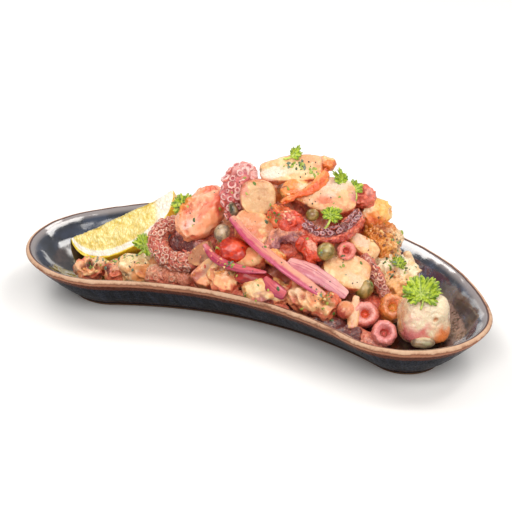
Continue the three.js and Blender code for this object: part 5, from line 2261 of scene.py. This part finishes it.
def lower_pieces() -> list[Morsel]:
    """The tomato's skin, and chunks and logs along the front and at both ends.

    Returns:
        The pieces.
    """
    return [
        Morsel("tomato_skin", Form.CHUNK, TOMATO_SKIN, (0, 40, -6), (10.5, 4.2, 5.2), at=(-9, -42, 36),
               cut=Cut.NONE, relief=(0.5, 0.15, 0.0)),
        Morsel("chunk_front_left", Form.CHUNK, PEACH, (0, 40, -25), (9.5, 8, 7.5), at=(-24, -33, 31),
               crags=1.1, cuts=3, dabs=(
                   Dab((-0.1, 0.3, 1.0), 0.6, "F4C498", 0.8), Dab((0.6, -0.5, 0.7), 0.4, "E07058", 0.7),
                   Dab((0.3, 0.5, 0.9), 0.3, "A08C40", 0.7))),
        Morsel("chunk_front_mid", Form.CHUNK, CREAM, (0, 40, -8), (14, 7.4, 7.5), at=(-2, -45.5, 29.5),
               crags=0.8, cuts=3, dabs=(
                   Dab((-0.5, -0.1, 0.9), 0.5, "F4D8A4", 0.8), Dab((0.7, -0.2, 0.8), 0.6, "E08C70"),
                   Dab((0.0, 0.8, 0.6), 0.4, "B8683C", 0.7), Dab((0.0, -0.8, 0.6), 0.6, "A8605C", 0.8))),
        Morsel("log_front", Form.LOG, PEACH, (0, 40, 0), (8.6, 7.6), taper=(0.85, 1, 0.9), crags=1.1, cuts=2,
               keep=0.85, route=((10, -47, 31.5), (22, -53, 28.5), (35, -60, 25)), dabs=(
                   Dab((-0.5, -0.2, 0.9), 0.5, "F8D4AC", 0.8), Dab((-0.1, 0.4, 1.0), 0.4, "F0B080", 0.7),
                   Dab((0.8, 0.4, 0.6), 0.4, "E06848", 0.8), Dab((0.1, 0.7, 0.7), 0.2, "5C3020", 0.8),
                   Dab((0.6, 0.1, 1.0), 0.35, "A08040", 0.8), Dab((0.4, -0.9, 0.4), 0.4, "3C1C1C", 0.8))),
        Morsel("ball_peach", Form.BERRY, CORAL, (0, 40, 30), (5, 4.8, 4.8), at=(40, -60, 26), cut=Cut.ALL,
               dabs=(Dab((0.3, 0.3, 1.0), 0.7, "DF975B"), Dab((-0.9, -0.2, 0.4), 0.9, "C65242"))),
        Morsel("strip_peach", Form.LOG, PEACH, (-5, 35, 0), (2.7, 2.4), cut=Cut.ALL, relief=(0.6, 0.3, 0.1),
               route=((46.5, -54, 31), (44.8, -60, 25), (43.2, -67, 18)), taper=(0.7, 1, 1.2),
               fullness=(6, 6, 3), dabs=(
                   Dab((-0.2, 0, 0.8), 1.2, "F6CCA4"), Dab((0.8, 0, 0.8), 0.4, "EC9080", 0.8))),
        Morsel("chunk_big", Form.CHUNK, CREAM, (8, 20, 0), (13, 12.8, 12.2), at=(82, -62, 22), cut=Cut.ALL,
               fullness=(4, 4, 3.4), lumps=0.03, relief=(0.8, 0.3, 0.12),
               whorl=Whorl((0.28, 0.05, 1.0), 6.5, 0.5, 0.12), dabs=(
                   Dab((0.0, 0.3, 1.0), 1.7, "FFF0CC", 0.95), Dab((0.28, 0.05, 1.0), 0.13, "C87C30", 0.8),
                   Dab((-0.7, -0.8, 0.7), 0.8, "E47C80", 0.95), Dab((-0.1, -0.9, 0.8), 0.45, "E8706C"),
                   Dab((0.5, -0.72, 0.7), 0.55, "F88C40", 0.98), Dab((-0.95, 0.3, 0.5), 0.3, "FAD0A0", 0.7))),
        Morsel("chunk_herbed", Form.CHUNK, CRUMBLY, (10, 45, -25), (14, 11.5, 8.8), at=(69, -22, 26.5),
               cut=Cut.ALL, crags=1.2, relief=(1.2, 1.0, 0.7), dabs=(
                   Dab((-0.2, 0.4, 0.9), 1.0, "FEF2D0"), Dab((0.1, -0.8, 0.7), 0.7, "FAC07C", 0.95),
                   Dab((0.7, -0.6, 0.6), 0.5, "F49C54"))),
        Morsel("finger_cream", Form.LOG, CREAM, (10, 30, 0), (3.3, 3.1), cut=Cut.ALL, fullness=(3, 3, 2.4),
               route=((81, -9, 16), (79, -8, 26), (77, -7, 36)),
               dabs=(Dab((0.6, 0, 0.4), 1.5, "F8E0B4"),)),
        Arm("arm_front_left", Form.ARM, CORAL, (-5, 35, 0), (6.3, 6), cut=Cut.NONE, crags=0.4,
            route=((-69, -2, 19), (-56, -7, 21), (-43, -13, 22)), taper=(0.9, 1, 1), suckers=10,
            radius=1.5, row_angle=0.5, rim="FFC8A4", hollow="E07458", relief=(0.8, 0.6, 0.3),
            bed="FC9070", bed_cover=0.4, dabs=(
                Dab((-0.4, 0.5, 0.6), 1.0, "FFDCB0", 0.95), Dab((0.5, 0.2, 0.9), 1.3, "FFA480", 0.95))),
        Morsel("chunk_left_cream", Form.CHUNK, CRUMBLY, (-5, 50, 8), (11, 9, 8), at=(-76, 4, 20), crags=0.8,
               cut=Cut.ALL, cuts=3, dabs=(
                   Dab((0.0, 0.2, 1.0), 0.8, "FCE8B0", 0.8), Dab((0.4, -0.7, 0.7), 0.8, "F8A060", 0.85),
                   Dab((-0.6, -0.4, 0.8), 0.4, "F4B478", 0.7))),
        Morsel("bit_left_mid", Form.CHUNK, PEACH, (0, 40, -20), (6.5, 6.5, 6.5), at=(-89, 5, 17),
               cut=Cut.NONE, crags=1.1, cuts=3, dabs=(
                   Dab((0.2, 0.4, 0.8), 0.6, "F0B890", 0.85), Dab((-0.5, -0.2, 0.8), 0.5, "5C2C2C", 0.8))),
        Morsel("bit_left_end", Form.CHUNK, PEACH, (0, 45, 8), (9.5, 6.5, 6.5), at=(-103, 9, 17), lumps=0.14,
               crags=1.1, cuts=3, dabs=(
                   Dab((0.0, 0.1, 1.0), 0.4, "44242C"), Dab((0.6, 0.2, 0.9), 0.5, "F0CCA0", 0.8),
                   Dab((-0.7, 0.1, 0.7), 0.5, "F0C090", 0.8))),
    ]


def garnish_pieces() -> list[Morsel]:
    """Onion strips, capers and the green bit at the right end.

    Returns:
        The pieces.
    """
    return [
        Morsel("onion_long", Form.BAND, PINK_ONION, (0, 55, 0), (3, 1.3),
               route=((-21, -21, 63), (-12, -33, 57), (0, -44, 50), (14, -52, 42), (29, -58, 33)),
               taper=(0.8, 1.0, 1.0, 1.05, 0.85), relief=(0.35, 0.15, 0.0)),
        Morsel("onion_wide", Form.BAND, LILAC_ONION, (15, 50, 0), (4.4, 1.3), relief=(0.4, 0.2, 0.05),
               route=((10, -43, 47), (25, -50, 42), (41, -55, 32)), taper=(0.6, 1.0, 1.0, 0.7), dabs=(
                   Dab((-0.9, 0, 0), 0.5, "B49CA4", 0.6), Dab((0.7, 0, 0), 0.5, "F0B8B8", 0.6))),
        Morsel("onion_arc", Form.BAND, MAGENTA_ONION, (-10, 50, 0), (2.4, 1.3), relief=(0.3, 0.15, 0.0),
               route=((-36, -24, 48), (-30, -33, 44), (-17, -42, 42), (-2, -47, 42)),
               taper=(0.6, 1.0, 0.95, 0.4)),
        Morsel("onion_magenta", Form.BAND, MAGENTA_ONION, (-30, 20, 0), (3.6, 1.2), relief=(0.3, 0.15, 0.0),
               route=((-3, -47, 39), (1, -51, 35), (8, -55, 32)), taper=(0.5, 1.1, 0.8)),
        Morsel("caper_left", Form.BERRY, CAPER_GREY, (0, 30, 70), (5, 4.3, 4.3), at=(-26, -26, 56),
               dabs=(
                   # the pale C8A888 dab is a painted highlight
                   Dab((0.8, 0.2, 0.5), 0.3, "6C4430", 0.7), Dab((0.1, 0.2, 1.0), 0.7, "C8A888", 0.7))),
        Morsel("caper_mid", Form.BERRY, CAPER, (0, 30, 30), (5, 4.8, 4.8), at=(30, -42, 52),
               # the pale C8B478 dab is a painted highlight
               dabs=(Dab((0.3, 0.2, 1.0), 0.4, "C8B478", 0.7),)),
        Morsel("caper_top", Form.BERRY, CAPER, (0, 30, 10), (3.6, 3.4, 3.4), at=(23, -27, 67),
               dabs=(Dab((0, 0, 1), 0.5, "7C4C28"), Dab((0, 0, 1), 0.2, "A08050", 0.7))),
        Morsel("caper_right", Form.BERRY, CAPER, (0, 30, 60), (5.8, 4.6, 4.6), at=(51, -47, 32),
               # the pale CCAC70 dab is a painted highlight
               dabs=(Dab((0.1, 0.1, 1.0), 0.5, "CCAC70", 0.7),)),
        Morsel("caper_upper_left", Form.BERRY, CAPER_GREY, (0, 30, 110), (4.4, 2.4, 2.4), at=(-20, -15, 65),
               dabs=(Dab((0.2, 0.3, 0.9), 0.6, "303018"),)),
        Morsel("bit_green", Form.BERRY, CAPER_GREY, (0, 45, 0), (6.5, 3.2, 2.8), at=(80.5, -76, 14.8), dabs=(
            # the pale ECD8B0 dab along the top is a painted highlight
            Dab((-0.1, 0.8, 0.7), 0.8, "ECD8B0"), Dab((0.3, -0.4, 0.8), 0.5, "A49C74"))),
    ]


def cups() -> list[Cup]:
    """The cut stubs with one large sucker each.

    Returns:
        The stubs.
    """
    return [
        Cup("cup_pink", ROSE, (41, -37, 50), (5, 25), 5.1, 4.5, "F49484", "EC6450", "C84830", 2),
        Cup("cup_left", ROSE, (51, -58, 22), (-5, 38), 6.8, 6, "F8B4A8", "F0603C", "E8702C", 3),
        Cup("cup_front", ROSE, (60, -72, 18), (0, 38), 6.8, 5.5, "F4A4A0", "E25850", "A05838", 4),
        Cup("cup_orange", ORANGE, (66, -48, 21), (8, 42), 7.2, 6, "FFB48C", "FFA458", "ECBC58", 5),
    ]


def sprigs() -> list[Sprig]:
    """Parsley on the summit, the right shoulder, the middle, the right end and the left.

    Returns:
        The sprigs.
    """
    return [
        Sprig("parsley_top", (12.5, -3, 92), (10, 25, 28), 6.4, 2, 36, 0.5, 0.7, 5, 1),
        Sprig("parsley_right_top", (40, -10, 79), (10, 30, 110), 7.5, 2, 42, 0.3, 0.5, 3, 2, second=Sprig(
            "round", (47, -9, 74), (20, 40, 90), 5.5, 3, 55, 0.4, 1.0, 7, 8)),
        Sprig("parsley_centre", (33, -29, 67), (0, 40, 70), 6.5, 4, 50, 0.4, 0.8, 9, 3),
        Sprig("parsley_right", (80, -67, 38), (3, 52, 92), 11.2, 5, 33, 0.15, 1.1, 7, 4, second=Sprig(
            "torn", (71, -25, 36.5), (10, 50, 60), 4.6, 3, 58, 0.3, 1.0, 2, 9)),
        Sprig("parsley_left", (-71, 4, 33), (-10, 42, 60), 9.0, 3, 42, 0.3, 0.9, 5, 5),
        Sprig("parsley_orange", (-48, -1, 61.5), (-15, 40, 120), 7.0, 3, 50, 0.4, 1.1, 4, 6),
    ]


# ------------------------------------------------------------------ scattered bits
@dataclass
class Surface:
    """The food's surface, for bits that fall on it."""

    skip: int = 3

    def __post_init__(self) -> None:
        """Joins every third ring and side of the skins to one search tree."""
        points, faces, start = [], [], 0
        for skin in [skin for skins in FOUND.values() for skin in skins]:
            skip = self.skip if skin.rings.shape[1] > 40 else 1
            rings = skin.rings[::skip, ::skip]
            count, sides = rings.shape[:2]
            quads, caps = MeshMaker.indices(count, sides)
            points += [rings.reshape(-1, 3), skin.first[None], skin.last[None]]
            faces += (quads + start).tolist() + (caps + start).tolist()
            start += count * sides + 2
        self.tree = BVHTree.FromPolygons(np.vstack(points).tolist(), faces)

    def drop(self, starts: Array, way: Triple) -> tuple[Array, Array]:
        """Places and normals where bits land.

        Args:
            starts: Places that they fall from.
            way: Direction of their fall.

        Returns:
            The landing places and the surface's normals, without the bits that miss.
        """
        hits = [self.tree.ray_cast(Vector(start), Vector(way)) for start in starts]
        found = [(hit[0][:], hit[1][:]) for hit in hits if hit[0]]
        return np.array([place for place, _ in found]), np.array([normal for _, normal in found])


@dataclass(frozen=True)
class Sprinkle:
    """Bits of one kind strewn over the food: small bent blades or lumps, each of its own
    length, turn and tint.

    thick and narrow are shares of the length, and patches are middle, spread and number.
    """

    name: str
    finish: WetSkin
    size: Pair
    thick: float
    narrow: float
    tints: tuple[str, ...]
    everywhere: int
    seed: int
    patches: tuple[tuple[Triple, float, int], ...]
    way: Triple = (0.05, 0.62, -0.78)
    fall: float = 90.0
    middle: Triple = (8.0, -16.0, 30.0)
    reach: Pair = (88.0, 52.0)

    def starts(self, rng: np.random.Generator) -> Array:
        """Places high over the food that the bits fall from, patches before the rest.

        Args:
            rng: The random numbers.

        Returns:
            The places, one a row.
        """
        back = np.array(self.way) * -self.fall
        rows = [np.array(at) + rng.normal(0, spread, (count, 3)) for at, spread, count in self.patches]
        angle, radius = rng.uniform(0, 2 * np.pi, self.everywhere), rng.uniform(0, 1, self.everywhere) ** 0.5
        x = self.middle[0] + self.reach[0] * radius * np.cos(angle)
        y = self.middle[1] + self.reach[1] * radius * np.sin(angle)
        rows.append(np.stack([x, y, np.full(self.everywhere, self.middle[2])], axis=-1))
        return np.vstack(rows) + back

    def bits(self, surface: Surface) -> list[Skin]:
        """The bits.

        Each is a grid of rings along x, nearly from -1 to 1, with the ellipse narrow sqrt(1 - x ** 2)
        wide and thick sqrt(1 - x ** 2) high as its section, bent down by 0.3 x ** 2 and
        waved at its edge.

        Args:
            surface: What they fall on.

        Returns:
            One skin for each bit that landed.
        """
        rng = np.random.default_rng(self.seed)
        places, normals = surface.drop(self.starts(rng), self.way)
        x = np.array([-0.92, -0.6, 0.0, 0.6, 0.92])[:, None]
        angle = circle(7)[None]
        full = np.sqrt(1 - x**2)
        skins = []
        for place, normal in zip(places, normals):
            half = rng.uniform(*self.size)
            turn, wave = rng.uniform(0, 2 * np.pi, 2)
            side = unit(np.cross(normal, [math.cos(turn), math.sin(turn), 0.3]))
            across = np.cross(normal, side)
            wide = self.narrow * full * np.cos(angle) * (1 + 0.35 * np.sin(5 * x + wave))
            high = self.thick * full * np.sin(angle) - 0.3 * x**2 + 0.2 * wide * math.sin(wave)
            rings = place + half * (
                x[..., None] * side + wide[..., None] * across + (high + 0.6 * self.thick)[..., None] * normal
            )
            skin = blank_skin(rings)
            skin.paint[:] = (*srgb(self.tints[rng.integers(len(self.tints))]), 1.0)
            skins.append(skin)
        return skins

    def build(self, surface: Surface) -> None:
        """Makes, dresses and places all the bits as one piece.

        Args:
            surface: The food that the bits fall on.
        """
        maker = MeshMaker(self.name)
        maker.add(*self.bits(surface))
        settle(maker.build([self.finish.material()]), self.finish.slot)


def sprinkles() -> list[Sprinkle]:
    """Chopped herbs, ground pepper, crumbs of crust and shreds of flesh.

    Returns:
        The sprinkles.
    """
    herb = WetSkin("chopped herb", "7C9428", "4C6418", "A4B850", "parsley", 0.3, 0.4)
    pepper = WetSkin("ground pepper", "2C2018", "181010", "5C4838", "caper", 0.35, 0.3)
    crust = WetSkin("crumbs of crust", "D08848", "A85C28", "F0C890", "octopus_rust", 0.3, 0.5)
    shred = WetSkin("shreds of flesh", "F0B48C", "E08C6C", "FCDCC0", "octopus_peach", 0.2, 0.5)
    return [
        Sprinkle("herb_flakes", herb, (0.6, 1.7), 0.14, 0.5,
                 ("8CA030", "5C7820", "3C5420", "A8B448", "708068"), 60, seed=3, patches=(
                     ((11, -5, 88), 1.6, 8), ((18, -6, 86), 2.0, 16), ((24, -7, 82), 1.6, 9),
                     ((0, -22, 62), 2.4, 9), ((27, -40, 45), 1.2, 4), ((39, -40, 43), 1.3, 5),
                     ((69, -22, 36), 3.6, 22), ((75, -20, 31), 2.6, 12), ((66, -28, 28), 1.8, 5),
                     ((-101, 10, 23.5), 3.2, 30), ((-95, 9, 23), 3.2, 34), ((-88, 7, 23.5), 3.2, 30),
                     ((30, -58, 30), 2.6, 12), ((-22, -38, 40), 1.8, 8), ((-77, 0, 26), 3.0, 8),
                     ((72, -8, 38), 3.2, 12), ((-30, -30, 49), 1.2, 4), ((52, -14, 52), 2.0, 5),
                     ((-8, -50, 34), 3.0, 6))),
        Sprinkle("pepper_specks", pepper, (0.28, 0.6), 0.5, 0.8, ("241A14", "18100C", "3C2C1C"), 70, seed=5,
                 patches=(((-50, 2, 60), 1.6, 8), ((-21, -18, 68), 1.6, 7), ((69, -22, 36), 4.0, 14),
                          ((-77, 0, 26), 4.0, 10), ((18, -6, 86), 4.0, 8), ((24, -54, 31), 3.0, 8))),
        Sprinkle("crust_crumbs", crust, (0.5, 1.3), 0.55, 0.8, ("D88C48", "B8642C", "F0C080", "8C4C24"), 12,
                 seed=7, patches=(((64, -14, 46), 5.0, 40), ((-96, 8, 20), 5.0, 18),
                                  ((30, -58, 30), 3.0, 10), ((-24, -34, 36), 3.0, 10))),
        Sprinkle("flesh_shreds", shred, (0.6, 1.5), 0.3, 0.5, ("F0A884", "E48468", "F4C49C", "D0604C"), 16,
                 seed=9, patches=(((-45, -10, 31), 5.0, 14), ((11, -26, 65), 3.0, 8), ((60, -40, 38), 3.0, 8),
                                  ((-35, -30, 37), 4.0, 8))),
    ]


# ------------------------------------------------------------------ studio
@dataclass(frozen=True)
class Lamp:
    """An oblong soft light that looks at the food.

    Place is its azimuth round the dish, its elevation and its distance in metres. Size is in
    metres, power in watts, and roll is the angle that it is turned by in its own plane.
    """

    name: str
    place: Triple
    size: Pair
    power: float
    roll: float = 0.0


LAMPS = (
    Lamp("key", (16, 42, 1.3), (0.7, 0.7), 9.2),
    Lamp("fill", (72, 38, 1.3), (0.9, 0.9), 6.4),
    Lamp("left window", (-101.2, 49.5, 1.15), (0.75, 0.44), 5.2),
    Lamp("left low", (-122, 13, 1.11), (0.5, 0.3), 0.6),
    Lamp("back strip", (147.9, 52.5, 1.24), (0.27, 1.03), 4.2, 34),
    Lamp("back small", (179.4, 47.6, 1.27), (0.4, 0.23), 1.3),
)


@dataclass(frozen=True)
class Studio:
    """Pale floor, soft light and the camera on the diner's side of the dish."""

    azimuth: float = 28.7
    elevation: float = 25.0
    distance: float = 0.9
    target: Triple = (-0.0085, -0.00025, 0.028)
    lens: float = 111.0
    sight: float = 10.0
    lamp_tint: Triple = (1.0, 0.97, 0.93)
    floor_size: float = 8.0
    floor_tint: float = 0.93
    floor_roughness: float = 0.9
    floor_shine: float = 0.1
    sky: float = 0.3

    def way(self, azimuth: float, elevation: float) -> Vector:
        """Unit vector from the object outwards at an azimuth and elevation."""
        a, e = math.radians(azimuth), math.radians(elevation)
        return Vector((math.sin(a) * math.cos(e), -math.cos(a) * math.cos(e), math.sin(e)))

    def camera(self) -> None:
        """Makes the camera and sets it as the scene's."""
        data = bpy.data.cameras.new("camera")
        data.lens = self.lens
        data.clip_end = self.sight
        camera = bpy.data.objects.new("camera", data)
        out = self.way(self.azimuth, self.elevation)
        camera.location = Vector(self.target) + out * self.distance
        camera.rotation_euler = (-out).to_track_quat("-Z", "Y").to_euler()
        bpy.context.scene.collection.objects.link(camera)
        bpy.context.scene.camera = camera

    def light(self, lamp: Lamp) -> None:
        """Makes one of the lamps and turns it to the food.

        Args:
            lamp: The lamp.
        """
        data = bpy.data.lights.new(lamp.name, "AREA")
        data.shape = "RECTANGLE"
        data.size, data.size_y = lamp.size
        data.energy = lamp.power
        data.color = self.lamp_tint
        light = bpy.data.objects.new(lamp.name, data)
        azimuth, elevation, distance = lamp.place
        out = self.way(azimuth, elevation)
        light.location = Vector(self.target) + out * distance
        turn = (-out).to_track_quat("-Z", "Y") @ Quaternion((0.0, 0.0, 1.0), math.radians(lamp.roll))
        light.rotation_euler = turn.to_euler()
        light.visible_camera = False
        bpy.context.scene.collection.objects.link(light)

    def floor(self) -> None:
        """A wide pale floor."""
        bpy.ops.mesh.primitive_plane_add(size=self.floor_size, location=(0, 0, 0))
        floor = bpy.context.object
        floor.name = "floor"
        material = bpy.data.materials.new("floor")
        material.use_nodes = True
        shader = material.node_tree.nodes["Principled BSDF"]
        shader.inputs["Base Color"].default_value = (*(self.floor_tint,) * 3, 1)
        shader.inputs["Roughness"].default_value = self.floor_roughness
        shader.inputs["Specular IOR Level"].default_value = self.floor_shine
        floor.data.materials.append(material)

    def build(self) -> None:
        """Makes the floor, the lights, the sky and the camera."""
        self.floor()
        self.camera()
        for lamp in LAMPS:
            self.light(lamp)
        world = bpy.data.worlds.new("sky")
        world.use_nodes = True
        sky = world.node_tree.nodes["Background"]
        sky.inputs["Color"].default_value = (1.0, 1.0, 1.0, 1)
        sky.inputs["Strength"].default_value = self.sky
        scene = bpy.context.scene
        scene.world = world
        scene.view_settings.view_transform = "Standard"


def main() -> None:
    """Builds the dish and the food in order and reports each piece."""
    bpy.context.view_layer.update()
    DISH.build()
    pieces = [LemonWedge(), Heap(), *garnish_pieces(), *upper_pieces(), *middle_pieces(), *lower_pieces()]
    for piece in [*pieces, *cups(), *sprigs()]:
        piece.build()
    surface = Surface()
    for sprinkle in sprinkles():
        sprinkle.build(surface)
    Studio().build()


if __name__ == "__main__":
    main()
